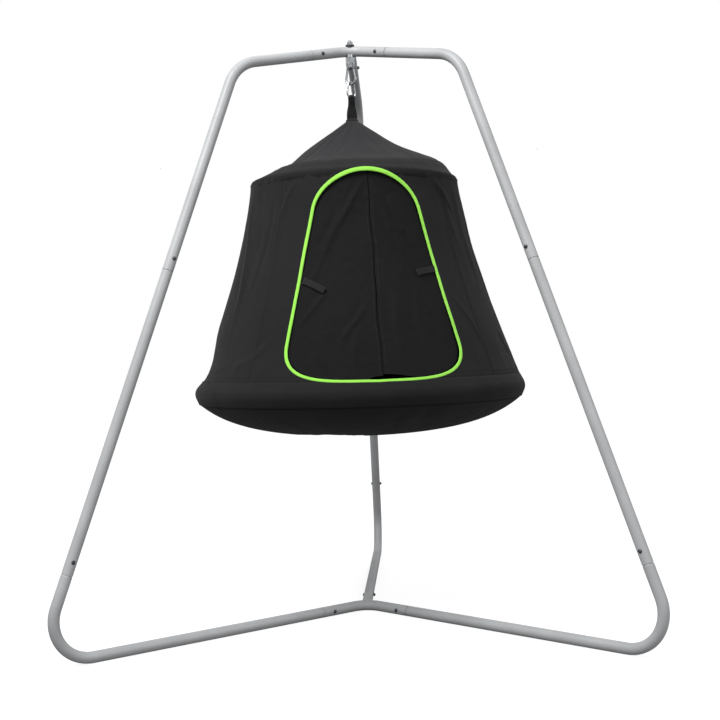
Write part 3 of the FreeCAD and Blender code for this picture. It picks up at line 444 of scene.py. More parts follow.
wallFolds = [
    (0.013, 0.007, 1.6, [(37.6, 1.484), (46.0, 1.425), (56.0, 1.345)]),
    (0.015, 0.006, 1.6, [(44.7, 1.467), (48.5, 1.360), (51.3, 1.237)]),
    (0.018, 0.006, 1.6, [(60.0, 1.470), (60.5, 1.30), (62.0, 1.10)]),
    (0.020, 0.009, 1.7, [(-77.4, 1.453), (-71.2, 1.295), (-65.0, 1.125), (-65.5, 0.993)]),
    (0.012, -0.004, 1.7, [(-50.0, 1.44), (-53.0, 1.26), (-57.0, 1.06)]),
    (0.012, 0.006, 1.6, [(-84.0, 0.865), (-72.7, 0.856), (-58.0, 0.875)]),
    (0.012, 0.006, 1.6, [(63.1, 0.975), (65.0, 0.925), (67.8, 0.872)]),
    (0.016, 0.005, 1.7, [(78.0, 1.46), (74.0, 1.26), (75.0, 1.02)]),
    (0.010, 0.004, 1.6, [(-36.0, 1.475), (-42.0, 1.42), (-47.0, 1.33)]),
    (0.012, 0.004, 1.6, [(34.0, 1.10), (41.0, 1.02), (47.0, 0.90)]),
    (0.012, 0.004, 1.6, [(-38.0, 0.96), (-46.0, 0.90), (-58.0, 0.86)]),
    (0.022, 0.007, 1.8, [(104.0, 1.47), (100.0, 1.24), (101.0, 0.96)]),
    (0.016, 0.006, 1.7, [(122.0, 1.46), (130.0, 1.30), (131.0, 1.12)]),
    (0.014, 0.005, 1.6, [(118.0, 0.93), (132.0, 0.87), (146.0, 0.862)]),
    (0.024, 0.008, 1.8, [(152.0, 1.47), (157.0, 1.22), (155.0, 0.92)]),
    (0.015, 0.006, 1.6, [(172.0, 1.47), (178.0, 1.34), (188.0, 1.20)]),
    (0.018, 0.006, 1.7, [(204.0, 1.46), (199.0, 1.25), (201.0, 1.00)]),
    (0.014, 0.005, 1.6, [(190.0, 0.90), (204.0, 0.865), (218.0, 0.88)]),
    (0.020, 0.007, 1.7, [(-122.0, 1.46), (-127.0, 1.22), (-124.0, 0.98)]),
    (0.014, 0.005, 1.6, [(-106.0, 1.46), (-100.0, 1.36), (-96.0, 1.22)]),
    (0.013, 0.005, 1.6, [(-112.0, 0.90), (-100.0, 0.862), (-88.0, 0.87)]),
]


def wallCloth(psi, z, out=0.0):
    # the finished wall surface: round shape, drawn folds, slack between the seams
    base = onWall(psi, z)
    low, high = pod["sleeveTop"] - 0.004, pod["shoulderHeight"]
    lift = np.zeros_like(psi)
    for turn in (-tau, 0.0, tau):
        near = foldField(psi + turn, z, wallFolds, low, high)
        lift += near
    edge = step((z - low) / 0.06) * step((high - z) / 0.05)
    lift *= 0.62
    lift += 0.0024 * softNoise(base, 7.0, 3.0) * edge
    stretched = base * np.array([1.0, 1.0, 0.22])
    lift += 0.0013 * softNoise(stretched, 26.0, 8.0) * edge
    lift += 0.0004 * softNoise(base, 60.0, 5.0) * edge
    seam = np.abs(((psi / (tau / 4) - 0.5) % 1.0 + 0.5) % 1.0 - 0.5) * (tau / 4) * wallRadius(z)
    lift += -0.0004 * np.exp(-(seam / 0.005) ** 2)
    cheek = np.sin(np.pi * np.clip((z - low) / (high - low), 0, 1))
    lift += -0.004 * cheek * (0.5 + 0.5 * np.cos(4 * psi + math.pi))
    lift += slackSide(psi, z)
    return around(psi, wallRadius(z) + lift + out, z)


slack = {"middle": math.radians(-92), "reach": math.radians(30), "height": 0.875, "rise": 0.085,
         "depth": 0.020, "fade": 0.055}


def slackSide(psi, z):
    # the left side hangs slack near the hoop, so it draws in there
    turn = (psi - slack["middle"] + math.pi) % tau - math.pi
    reach = np.exp(-(turn / slack["reach"]) ** 2)
    rise = np.exp(-((z - slack["height"]) / slack["rise"]) ** 2)
    rise = rise * step((z - pod["hoopHeight"]) / slack["fade"])
    return -slack["depth"] * reach * rise


def gridFaces(rows, cols, closed=False, flip=False):
    faces = []
    wide = cols if closed else cols - 1
    for i in range(rows - 1):
        for j in range(wide):
            k = (j + 1) % cols
            quad = (i * cols + j, i * cols + k, (i + 1) * cols + k, (i + 1) * cols + j)
            faces.append(quad[::-1] if flip else quad)
    return faces


def clothPiece(name, points, faces, uvs, material, thickness, body, replaced,
               outward=None):
    obj = meshObject(name, points, faces, uvs)
    fixNormals(obj, outward)
    finishWith(obj, material)
    if thickness:
        thicken(obj, thickness)
        obj.data.shade_smooth()
    if body:
        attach(obj, body)
    if replaced:
        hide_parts(*replaced)
    return obj


def fixNormals(obj, outward=None):
    # turns an open sheet so that its faces look away from a point or along a rule
    mesh = obj.data
    total = 0.0
    for p in mesh.polygons:
        c = p.center
        want = outward(c) if outward else Vector((c.x, c.y, 0.0))
        total += p.normal.dot(want) * p.area
    if total < 0:
        mesh.flip_normals()


# the doorway outline, seen square on, as x and height
door = {
    "sill": pod["sleeveTop"] - 0.001, "height": 0.672,
    "lowHalf": 0.272, "highHalf": 0.172, "lowRise": 0.114, "archRise": 0.125,
    "cornerSwell": 0.45, "archSwell": 0.36,
}


def bezier(a, b, c, d, n):
    t = np.linspace(0, 1, n)[:, None]
    return ((1 - t) ** 3 * a + 3 * (1 - t) ** 2 * t * b + 3 * (1 - t) * t ** 2 * c + t ** 3 * d)


def doorHalf(inset, spacing=0.006):
    # right half of the outline, from the middle of the sill to the crown
    sill, top = door["sill"] + inset, door["sill"] + door["height"] - inset
    low = np.array([door["lowHalf"] - inset, door["sill"] + door["lowRise"]])
    high = np.array([door["highHalf"] - inset, door["sill"] + door["height"] - door["archRise"]])
    foot, crown = np.array([0.0, sill]), np.array([0.0, top])
    run = (high - low) / np.linalg.norm(high - low)
    out = np.array([1.0, 0.04]) / math.hypot(1.0, 0.04)
    d = np.linalg.norm(low - foot) * door["cornerSwell"]
    corner = bezier(foot, foot + out * d, low - run * d, low, 60)
    d = np.linalg.norm(crown - high) * door["archSwell"]
    arch = bezier(high, high + run * d, crown - np.array([-1.0, 0.0]) * d, crown, 50)
    side = low + (high - low) * np.linspace(0, 1, 60)[:, None]
    return evenly(np.concatenate([corner, side[1:], arch[1:]]), spacing)


def evenly(points, spacing=None, count=None):
    run = runAlong(points)
    n = count or max(int(round(run[-1] / spacing)) + 1, 2)
    s = np.linspace(0, run[-1], n)
    return np.stack([np.interp(s, run, points[:, k]) for k in range(points.shape[1])], 1)


def outlineAngles(points):
    return np.arcsin(np.clip(points[:, 0] / wallRadius(points[:, 1]), -1, 1)), points[:, 1]


wall = {
    "columns": 130, "rows": 112, "spacing": 0.0055, "rings": 62, "slant": 0.74,
    "low": pod["sleeveTop"] - 0.004, "high": pod["shoulderHeight"] - 0.003,
}


def makeWallPanel(name, node, middle):
    psi = middle + np.linspace(-tau / 8, tau / 8, wall["columns"])
    z = np.linspace(wall["high"], wall["low"], wall["rows"])
    P, Z = np.meshgrid(psi, z)
    P, Z = P.ravel(), Z.ravel()
    points = wallCloth(P, Z)
    uvs = np.stack([(P - middle) * 0.46, Z], 1)
    return clothPiece(name, points, gridFaces(wall["rows"], wall["columns"]), uvs, podCloth,
                      pod["cloth"], "pod", [node])


def makeDoorPanel(name, side, node):
    # half of the front: rings of cloth from the doorway edge out to the side seam
    half = doorHalf(0.001, wall["spacing"])[::-1]
    half = half[half[:, 1] < wall["high"] - 0.0005]
    psi0, z0 = outlineAngles(half)
    n = len(half)
    corner = int(np.argmax(z0 < door["sill"] + 0.035))
    seam = tau / 8
    down = np.linspace(wall["high"], wall["low"], corner + 1)
    base = np.linspace(seam, 0.0, n - corner)
    psi1 = np.concatenate([np.full(corner, seam), base])
    z1 = np.concatenate([down[:corner], np.full(n - corner, wall["low"])])
    z0 = z0.copy()
    z0[0] = wall["high"]
    share = np.linspace(0, 1, wall["rings"])[:, None]
    P = side * (psi0 + (psi1 - psi0) * share).ravel()
    Z = (z0 + (z1 - z0) * share).ravel()
    points = wallCloth(P, Z)
    uvs = np.stack([P * 0.46, Z], 1)
    return clothPiece(name, points, gridFaces(wall["rings"], n), uvs, podCloth, pod["cloth"],
                      "pod", [node])


makeDoorPanel("doorPanelLeft", -1, "wall_front_left")
makeDoorPanel("doorPanelRight", 1, "wall_front_right")
makeWallPanel("rightPanel", "wall_right", tau / 4)
makeWallPanel("backPanel", "wall_back", tau / 2)
makeWallPanel("leftPanel", "wall_left", -tau / 4)
print("stage: wall panels made")

# roof: four cut gores that sag a little between the seams
roof = {
    "tipRadius": 0.020, "tipHeight": capBox[1].z - 0.005, "rows": 60, "columns": 240,
    "sag": 0.008, "slackLeft": 0.022, "fullRight": 0.020, "seamShare": 0.845, "flatWidth": 0.76,
}


def roofSurface(psi, share):
    edgeR = pod["shoulderRadius"] - 0.0035
    edgeZ = pod["shoulderHeight"] + 0.0063
    r = mix(roof["tipRadius"], edgeR, share)
    z = mix(roof["tipHeight"] - 0.004, edgeZ, share)
    seam = 0.5 + 0.5 * np.cos(4 * psi + math.pi)
    away = np.sin(np.pi * share)
    drop = roof["sag"] * away * (0.35 + 0.65 * (1 - seam ** 3))
    base = around(psi, r, z)
    drop += 0.0022 * softNoise(base * np.array([1, 1, 1]), 9.0, 2.0) * away
    rays = np.stack([np.sin(psi) * 3.2, np.cos(psi) * 3.2, share * 0.9], 1)
    drop += 0.0022 * softNoise(rays, 2.4, 6.0) * step(share / 0.1) * step((1 - share) / 0.08)
    drop += 0.0010 * softNoise(rays, 6.5, 9.0) * step((1 - share) / 0.03) * step(share / 0.3)
    left = np.exp(-(((psi + math.radians(100) + math.pi) % tau - math.pi) / 0.75) ** 2)
    right = np.exp(-(((psi - math.radians(72) + math.pi) % tau - math.pi) / 0.60) ** 2)
    hump = np.exp(-((share - 0.74) / 0.20) ** 2) * step((1 - share) / 0.12) * step(share / 0.25)
    drop += roof["slackLeft"] * left * hump - roof["fullRight"] * right * hump
    drop -= 0.006 * np.exp(-((share - 0.84) / 0.10) ** 2) * step((1 - share) / 0.10)
    return around(psi, r - drop * 0.5, z - drop * 0.84)


def makeRoof():
    psi = np.linspace(0, tau, roof["columns"], endpoint=False) + tau / 8
    share = np.linspace(0, 1, roof["rows"])
    P, S = np.meshgrid(psi, share)
    P, S = P.ravel(), S.ravel()
    points = roofSurface(P, S)
    uvs = np.stack([(P % (tau / 4) - tau / 8) * (0.05 + 0.3 * S), S * 0.4], 1)
    # the roof wears the lighter copy of the charcoal nylon, with painted light
    return clothPiece("roofCloth", points, gridFaces(roof["rows"], roof["columns"], True), uvs,
                      roofLitNylon, pod["cloth"], "pod", ["roof"],
                      outward=lambda c: Vector((c.x, c.y, 0.5)))


makeRoof()


def sweep(name, path, normals, section, closed, material, widths=None):
    # carries a flat closed section along a path; section is (across, out) pairs
    n, k = len(path), len(section)
    if closed:
        tangent = np.roll(path, -1, 0) - np.roll(path, 1, 0)
    else:
        tangent = np.gradient(path, axis=0)
    tangent /= np.linalg.norm(tangent, axis=1)[:, None]
    across = np.cross(tangent, normals)
    across /= np.linalg.norm(across, axis=1)[:, None]
    out = np.cross(across, tangent)
    widths = np.ones(n) if widths is None else widths
    points, uvs = [], []
    run = runAlong(path)
    rim = np.concatenate([[0], np.cumsum(np.linalg.norm(np.diff(section, axis=0), axis=1))])
    for i in range(n):
        for j in range(k):
            a, o = section[j]
            points.append(path[i] + across[i] * a * widths[i] + out[i] * o)
            uvs.append((rim[j], run[i]))
    faces = []
    for i in range(n if closed else n - 1):
        for j in range(k):
            a, b = i * k, ((i + 1) % n) * k
            faces.append((a + j, a + (j + 1) % k, b + (j + 1) % k, b + j))
    if not closed:
        faces.append(tuple(range(k))[::-1])
        faces.append(tuple(range((n - 1) * k, n * k)))
    obj = meshObject(name, points, faces, uvs)
    recalc(obj)
    return finishWith(obj, material)


def recalc(obj):
    work = bmesh.new()
    work.from_mesh(obj.data)
    bmesh.ops.recalc_face_normals(work, faces=work.faces)
    work.to_mesh(obj.data)
    work.free()
    obj.data.shade_smooth()


def stripSection(width, thick, crown=0.0, n=6):
    # flat strip with rounded edges, closed, as (across, out)
    half, t = width / 2, thick / 2
    pts = []
    for i in range(n + 1):
        x = -half + t + (width - 2 * t) * i / n
        pts.append((x, t + crown * (1 - (x / half) ** 2)))
    for a in (60, 30, 0, -30, -60):
        pts.append((half - t + t * math.cos(math.radians(a)), t * math.sin(math.radians(a))))
    for i in range(n + 1):
        x = half - t - (width - 2 * t) * i / n
        pts.append((x, -t + crown * (1 - (x / half) ** 2)))
    for a in (240, 210, 180, 150, 120):
        pts.append((-half + t + t * math.cos(math.radians(a)), t * math.sin(math.radians(a))))
    return np.array(pts)


# lime tape folded over the doorway edge
binding = {"width": 0.0130, "thick": 0.0036, "spacing": 0.005}


def doorPath(inset, out, spacing):
    half = doorHalf(inset, spacing)
    loop = np.concatenate([half[::-1], half[1:-1] * np.array([-1, 1])])
    psi, z = outlineAngles(loop)
    over = 0.0022 * step((z - 1.474) / 0.012)
    path = wallCloth(psi, z, out + over)
    a, b = onWall(psi, z + 0.002), onWall(psi, z - 0.002)
    up = a - b
    side = np.cross(up, outFrom(psi))
    normals = np.cross(side, up)
    normals /= np.linalg.norm(normals, axis=1)[:, None]
    radial = outFrom(psi)
    normals *= np.sign(np.sum(normals * radial, axis=1))[:, None]
    return path, normals, z


def makeBinding():
    path, normals, z = doorPath(0.0, -0.0004, binding["spacing"])
    lowShare = np.clip((z - door["sill"]) / 0.10, 0, 1)
    highShare = np.clip((z - 1.38) / 0.1, 0, 1)
    widths = 0.74 + 0.14 * lowShare + 0.20 * highShare
    ripple = np.array([1 + 0.05 * noise.noise(Vector(p) * 30) for p in path])
    section = stripSection(binding["width"], binding["thick"], 0.0006)
    obj = sweep("doorBinding", path, normals, section, True, limeTape, widths=widths * ripple)
    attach(obj, "pod")
    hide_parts("door_piping")
    return obj


makeBinding()
print("stage: roof and doorway binding made")

# cloth band that goes over the upper hoop and is sewn to the roof above it
weltShape = {"radius": pod["shoulderRadius"] - 0.0075, "thick": 0.0013, "steps": 420}


def ringFaces(steps, k):
    faces = []
    for i in range(steps):
        for j in range(k):
            a, b = i * k, ((i + 1) % steps) * k
            faces.append((a + j, a + (j + 1) % k, b + (j + 1) % k, b + j))
    return faces


def ringPiece(name, profile, steps, wobble, material, node, uScale=0.5):
    # turns a closed profile of (radius, height) round the pod and lets it wobble
    k = len(profile)
    psi = np.linspace(0, tau, steps, endpoint=False)
    points, uvs = [], []
    rim = runAlong(profile)
    P, J = np.meshgrid(psi, np.arange(k), indexing="ij")
    R, Z = profile[:, 0][J], profile[:, 1][J]
    base = around(P.ravel(), R.ravel(), Z.ravel())
    push = wobble(base, P.ravel(), J.ravel())
    points = around(P.ravel(), R.ravel() + push, Z.ravel())
    uvs = np.stack([P.ravel() * uScale, rim[J].ravel()], 1)
    obj = meshObject(name, points, ringFaces(steps, k), uvs)
    recalc(obj)
    finishWith(obj, material)
    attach(obj, "pod")
    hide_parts(node)
    return obj


def makeWelt():
    # profile: from under the hoop, round its outside, up the roof to the seam, and back inside
    r, h, t = weltShape["radius"], pod["shoulderHeight"], weltShape["thick"]
    low = (float(wallRadius(h - 0.020)) - 0.0004, h - 0.020)
    outer = [low, (r + 0.0084, h - 0.006), (r + 0.0088, h + 0.001), (r + 0.0050, h + 0.0078)]
    marks = [0.965, 0.93, 0.89, roof["seamShare"]]
    outer += [(mix(roof["tipRadius"], r + 0.004, m),
               mix(roof["tipHeight"] - 0.004, h + 0.0063, m) + 0.002) for m in marks]
    outer = np.array(outer)
    inner = outer[::-1].copy()
    inner[:, 0] -= t * 0.5
    inner[:, 1] -= t * 0.75
    inner[-1, 0] -= 0.0008
    profile = np.concatenate([outer, inner])
    count = len(outer)

    def place(psi, j):
        # the part above the hoop lies on the roof surface, whatever its folds
        k = np.where(j < count, j, 2 * count - 1 - j)
        top = k >= 4
        share = np.array([1.0, 1.0, 1.0, 1.0] + marks)[k]
        p = roofSurface(psi, share)
        lift = np.where(j < count, 0.0017, 0.0004)
        return top, p + np.stack([0 * psi, 0 * psi, lift], 1)

    psi = np.linspace(0, tau, weltShape["steps"], endpoint=False)
    k = len(profile)
    P, J = np.meshgrid(psi, np.arange(k), indexing="ij")
    P, J = P.ravel(), J.ravel()
    R, Z = profile[:, 0][J], profile[:, 1][J]
    # over the doorway it stops at the arch of the tape
    angle = np.abs((P + math.pi) % tau - math.pi)
    archAngle, archZ = outlineAngles(doorHalf(0.0, 0.002))
    above = archZ > door["sill"] + door["height"] * 0.7
    arch = np.interp(angle, archAngle[above][::-1], archZ[above][::-1], right=0.0)
    lowZ = np.maximum(Z, arch)
    outside = np.interp(lowZ, outer[:4, 1], outer[:4, 0])
    cut = (lowZ > Z) & (Z < outer[4, 1])
    R = np.where(cut, np.where(J < count, outside, outside - t * 0.5), R)
    Z = np.where(cut, lowZ, Z)
    base = around(P, R, Z)
    push = 0.0008 * softNoise(base, 55.0, 1.0) + 0.0006 * softNoise(base, 18.0, 4.0)
    points = around(P, R + np.where(J < count, push, 0.6 * push), Z)
    top, onRoof = place(P, J)
    points = np.where(top[:, None], onRoof, points)
    rim = runAlong(profile)
    uvs = np.stack([P * 0.36, rim[J]], 1)
    obj = meshObject("shoulderWelt", points, ringFaces(weltShape["steps"], k), uvs)
    recalc(obj)
    finishWith(obj, podCloth)
    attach(obj, "pod")
    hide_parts("shoulder_welt")
    return obj


makeWelt()

# sleeve round the lower hoop: outer face, under lip and the inner face
sleeve = {"steps": 480}


def smoothProfile(points, count):
    pts = np.array(points)
    dense = [pts[0]]
    for i in range(len(pts) - 1):
        p0, p1, p2, p3 = pts[max(i - 1, 0)], pts[i], pts[i + 1], pts[min(i + 2, len(pts) - 1)]
        for t in np.linspace(0, 1, 12)[1:]:
            dense.append(0.5 * (2 * p1 + (p2 - p0) * t + (2 * p0 - 5 * p1 + 4 * p2 - p3) * t ** 2
                                + (3 * p1 - p0 - 3 * p2 + p3) * t ** 3))
    return evenly(np.array(dense), count=count)


def makeSleeve():
    hr, hz, foot = pod["hoopRadius"], pod["hoopHeight"], pod["wallFoot"]
    top, low = pod["sleeveTop"], pod["sleeveLow"]
    outer = smoothProfile([(foot + 0.0008, top), (hr + 0.0065, hz + 0.026), (hr + 0.0145, hz + 0.008),
                           (hr + 0.0150, hz - 0.012), (hr + 0.0045, low)], 22)
    inner = smoothProfile([(hr - 0.001, low), (hr - 0.0125, hz - 0.020), (hr - 0.0140, hz - 0.002),
                           (hr - 0.0125, hz + 0.015), (foot - 0.0035, top)], 12)
    profile = np.concatenate([outer, inner])
    count = len(outer)

    def wobble(base, psi, j):
        height = np.clip((base[:, 2] - low) / (top - low), 0, 1)
        free = np.sin(np.pi * height)
        pleat = base * np.array([1.0, 1.0, 0.25])
        push = 0.0012 * softNoise(base, 12.0, 7.0) + 0.0010 * softNoise(pleat, 70.0, 2.0) * free
        push += slackSide(psi, base[:, 2])
        return np.where(j < count, push, 0.3 * push)
    return ringPiece("hoopSleeve", profile, sleeve["steps"], wobble, podCloth,
                     "hoop_sleeve", 0.57)


makeSleeve()

# hanging floor of the pod
bowl = {"rows": 56, "columns": 300, "flatWidth": 1.16, "drop": pod["sleeveLow"] - bowlBox[0].z}


def bowlSurface(psi, share):
    rim = pod["hoopRadius"] + 0.003
    rise = 0.40 * share ** 2 + 0.45 * share ** 4 + 0.15 * share ** 9
    z = bowlBox[0].z + 0.001 + bowl["drop"] * rise
    base = around(psi, rim * share, z)
    free = step((1 - share) / 0.10)
    lift = 0.006 * softNoise(base, 4.5, 11.0) * free
    rays = np.stack([np.sin(psi) * 4.0, np.cos(psi) * 4.0, share * 1.5], 1)
    lift += 0.0035 * softNoise(rays, 2.8, 13.0) * free * step(share / 0.3)
    lift += 0.0016 * softNoise(rays, 8.0, 15.0) * step((1 - share) / 0.02) * step((share - 0.55) / 0.3)
    lift = np.maximum(lift, -0.0009)
    return around(psi, rim * share, z + lift)


def makeBowl():
    psi = np.linspace(0, tau, bowl["columns"], endpoint=False)
    share = np.linspace(0.012, 1.0, bowl["rows"])
    P, S = np.meshgrid(psi, share)
    P, S = P.ravel(), S.ravel()
    points = list(bowlSurface(P, S))
    faces = gridFaces(bowl["rows"], bowl["columns"], True)
    points.append(np.mean(points[:bowl["columns"]], axis=0))
    last = len(points) - 1
    n = bowl["columns"]
    faces += [(j, last, (j + 1) % n) for j in range(n)]
    points = np.array(points)
    uvs = points[:, :2]
    # the bowl wears the darker copy of the charcoal nylon, with painted shade
    obj = clothPiece("bowlShadeCloth", points, faces, uvs, bowlShadeCloth, 0.0020, "pod", ["bowl_floor"],
                     outward=lambda c: Vector((0, 0, -1)))
    return obj


makeBowl()
print("stage: welt, sleeve and bowl made")

# two door curtains that hang behind the binding
curtain = {
    "inset": 0.0045, "gap": 0.0009, "back": 0.0060,
    "thick": 0.0012, "columns": 46, "spacing": 0.006, "lift": 0.020, "under": 0.0005,
    "shiftTop": 0.009, "shiftLow": 0.016, "flatWidth": 0.275, "sewn": -0.004, "free": 0.030,
}
leftFolds = [
    (0.011, 0.0060, 1.5, [(-11.8, 1.394), (-20.0, 1.230), (-28.0, 1.077)]),
    (0.012, 0.0060, 1.5, [(-1.0, 1.464), (-14.0, 1.320), (-26.4, 1.189)]),
    (0.010, 0.0050, 1.5, [(-1.5, 1.070), (-7.0, 1.005), (-13.6, 0.933)]),
    (0.010, 0.0050, 1.5, [(-17.9, 1.106), (-24.0, 1.045), (-29.6, 0.984)]),
    (0.014, 0.0045, 1.6, [(-6.0, 0.990), (-8.0, 0.910), (-7.0, 0.845)]),
    (0.014, 0.0040, 1.6, [(-20.0, 0.960), (-19.0, 0.900), (-16.0, 0.850)]),
]
rightFolds = [
    (0.010, 0.0060, 1.5, [(1.1, 1.140), (0.9, 0.990), (0.5, 0.883)]),
    (0.014, 0.0055, 1.6, [(3.0, 1.450), (12.0, 1.300), (19.0, 1.170)]),
    (0.014, 0.0050, 1.6, [(10.0, 1.420), (18.0, 1.290), (24.0, 1.210)]),
    (0.016, 0.0055, 1.7, [(9.0, 1.100), (8.0, 0.980), (9.5, 0.880)]),
    (0.014, 0.0050, 1.7, [(18.0, 1.110), (17.0, 0.990), (18.5, 0.890)]),
    (0.012, 0.0040, 1.6, [(24.0, 1.060), (26.0, 0.980), (25.0, 0.900)]),
]


def curtainSurface(side, psi, z):
    back = -curtain["back"] - 0.0028
    folds = leftFolds if side < 0 else rightFolds
    lift = foldField(psi, z, folds, 0.80, 1.52) * 0.9
    base = onWall(psi, z)
    lift += 0.0030 * softNoise(base * np.array([1, 1, 0.3]), 16.0, 21.0 + side)
    lift += 0.0011 * softNoise(base, 45.0, 23.0)
    x = wallRadius(z) * np.sin(psi)
    reach = halfAt(z) - np.abs(x)
    free = step(reach / 0.035)
    crown = step((door["sill"] + door["height"] - z) / 0.05)
    lift = np.clip(lift, -0.012, 0.0065) * free * crown
    return around(psi, wallRadius(z) + back + lift, z)


outlineTable = doorHalf(0.0, 0.002)


def halfAt(z):
    order = np.argsort(outlineTable[:, 1])
    return np.interp(z, outlineTable[order, 1], outlineTable[order, 0])


def meetingLine(z):
    # where the two curtains meet, a little right of the middle and not quite straight
    share = np.clip((z - door["sill"]) / door["height"], 0, 1)
    crooked = 0.0016 * np.sin(z * 17.0) + 0.0010 * np.sin(z * 41.0 + 1.0)
    return mix(curtain["shiftLow"], curtain["shiftTop"], share) + crooked


def makeCurtain(name, side, node, body):
    half = doorHalf(curtain["inset"], curtain["spacing"])
    # straight side runs under the binding, where the curtain is sewn on
    lowZ = door["sill"] + door["lowRise"]
    highZ = door["sill"] + door["height"] - door["archRise"]
    sew = step((half[:, 1] - lowZ - 0.02) / 0.06) * step((highZ - 0.02 - half[:, 1]) / 0.06)
    half[:, 0] += sew * (curtain["inset"] - curtain["under"])
    half = half[half[:, 0] > curtain["gap"] + (curtain["shiftLow"] + 0.002 if side > 0 else 0)]
    # near the middle they hang a little short of the sill, the right one more
    rise, start, reach = (curtain["lift"], 0.03, 0.15) if side > 0 else (0.015, 0.0, 0.05)
    raised = rise * (1 - step((half[:, 0] - start) / reach))
    half[:, 1] = np.maximum(half[:, 1], door["sill"] + raised)
    half = evenly(half, count=190)
    n = len(half)
    centre = np.zeros_like(half)
    share = np.linspace(0, 1, n)
    centre[:, 1] = mix(half[0, 1], half[-1, 1], share)
    centre[:, 0] = curtain["gap"] + side * meetingLine(centre[:, 1])
    t = np.linspace(0, 1, curtain["columns"])[None, :, None]
    grid = centre[:, None, :] * (1 - t) + half[:, None, :] * t
    flatGrid = grid.reshape(-1, 2)
    x, z = side * flatGrid[:, 0], flatGrid[:, 1]
    psi = np.arcsin(np.clip(x / wallRadius(z), -1, 1))
    points = curtainSurface(side, psi, z)
    uvs = np.stack([x, z], 1)
    faces = gridFaces(n, curtain["columns"])
    obj = clothPiece(name, points, faces, uvs, flapCloth, curtain["thick"], None, [node])
    hinge = [j for j in frame["record"]["behaviour"]["joints"] if j["child"] == body][0]
    axis = Vector(hinge["axis"])
    pos = Vector(hinge["pos_m"])
    middle = Vector(onWall(np.array([0.0]), np.array([pos.z]))[0])
    across = middle - pos
    across = (across - axis * across.dot(axis)).normalized()
    start = pos + across * curtain["sewn"]
    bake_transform(obj)
    return obj


makeCurtain("leftCurtain", -1, "door_flap_left", "flap_left")
makeCurtain("rightCurtain", 1, "door_flap_right", "flap_right")
print("stage: curtains made")

# tie tabs: short webbing ends sewn on the curtains
tab = {"width": 0.0205, "thick": 0.0017}


def makeTab(name, side, node, body, ends):
    (a0, z0), (a1, z1) = ends
    t = np.linspace(0, 1, 26)
    psi = np.radians(mix(a0, a1, t))
    z = mix(z0, z1, t) + 0.0015 * np.sin(np.pi * t)
    out = -0.0025 + 0.0012 * np.sin(np.pi * t) + 0.0018 * t * (side < 0)
    path = onWall(psi, z, out)
    radial = np.stack([np.sin(psi + pod["turn"]), -np.cos(psi + pod["turn"]), 0.22 + 0 * psi], 1)
    normals = radial / np.linalg.norm(radial, axis=1)[:, None]
    obj = sweep(name, path, normals, stripSection(tab["width"], tab["thick"]), False, webbing)
    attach(obj, body)
    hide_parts(node)
    return path, normals


leftTabPath, leftTabNormals = makeTab(
    "leftTieTab", -1, "tie_tab_left", "flap_left", ((-28.6, 1.139), (-19.0, 1.103)))
rightTabPath, rightTabNormals = makeTab(
    "rightTieTab", 1, "tie_tab_right", "flap_right", ((29.6, 1.167), (20.2, 1.154)))

# load straps sewn inside the seams
strap = {"width": 0.025, "thick": 0.0014}


def makeStraps():
    made = []
    for i in range(4):
        psi = tau / 8 + i * tau / 4
        rows = []
        for share in np.linspace(0.02, 0.97, 24):
            p = roofSurface(np.array([psi]), np.array([share]))[0]
            rows.append(p - np.array([0, 0, 0.0032]))
        z = np.linspace(1.470, 0.832, 46)
        p = wallCloth(np.full_like(z, psi), z, -0.0030)
        radial = np.array([math.sin(psi + pod["turn"]), -math.cos(psi + pod["turn"]), 0.0])
        up = radial * 0.55 + np.array([0, 0, 0.83])
        rows = np.array(rows)
        made.append(sweep("roofStrap%d" % i, rows, np.tile(up, (len(rows), 1)),
                          stripSection(strap["width"], strap["thick"]), False, webbing))
        made.append(sweep("wallStrap%d" % i, p, np.tile(radial, (len(z), 1)),
                          stripSection(strap["width"], strap["thick"]), False, webbing))
    return joinPieces("loadStraps", made)


def joinPieces(name, objects):
    work = bmesh.new()
    for o in objects:
        work.from_mesh(o.data)
    mesh = objects[0].data
    for o in objects[1:]:
        old = o.data
        bpy.data.objects.remove(o)
        bpy.data.meshes.remove(old)
    work.to_mesh(mesh)
    work.free()
    mesh.shade_smooth()
    objects[0].name = name
    mesh.name = name
    return objects[0]


loadStraps = makeStraps()
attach(loadStraps, "pod")
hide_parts("load_straps")

# hanging loop: one webbing strap over the lower snap hook, gathered at the top
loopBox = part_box("hanging_loop")
loop = {
    "turn": math.radians(35.0), "thick": 0.0024, "topWidth": 0.018, "lowWidth": 0.040,
    "fold": 0.0070, "top": loopBox[1].z, "low": loopBox[0].z,
}


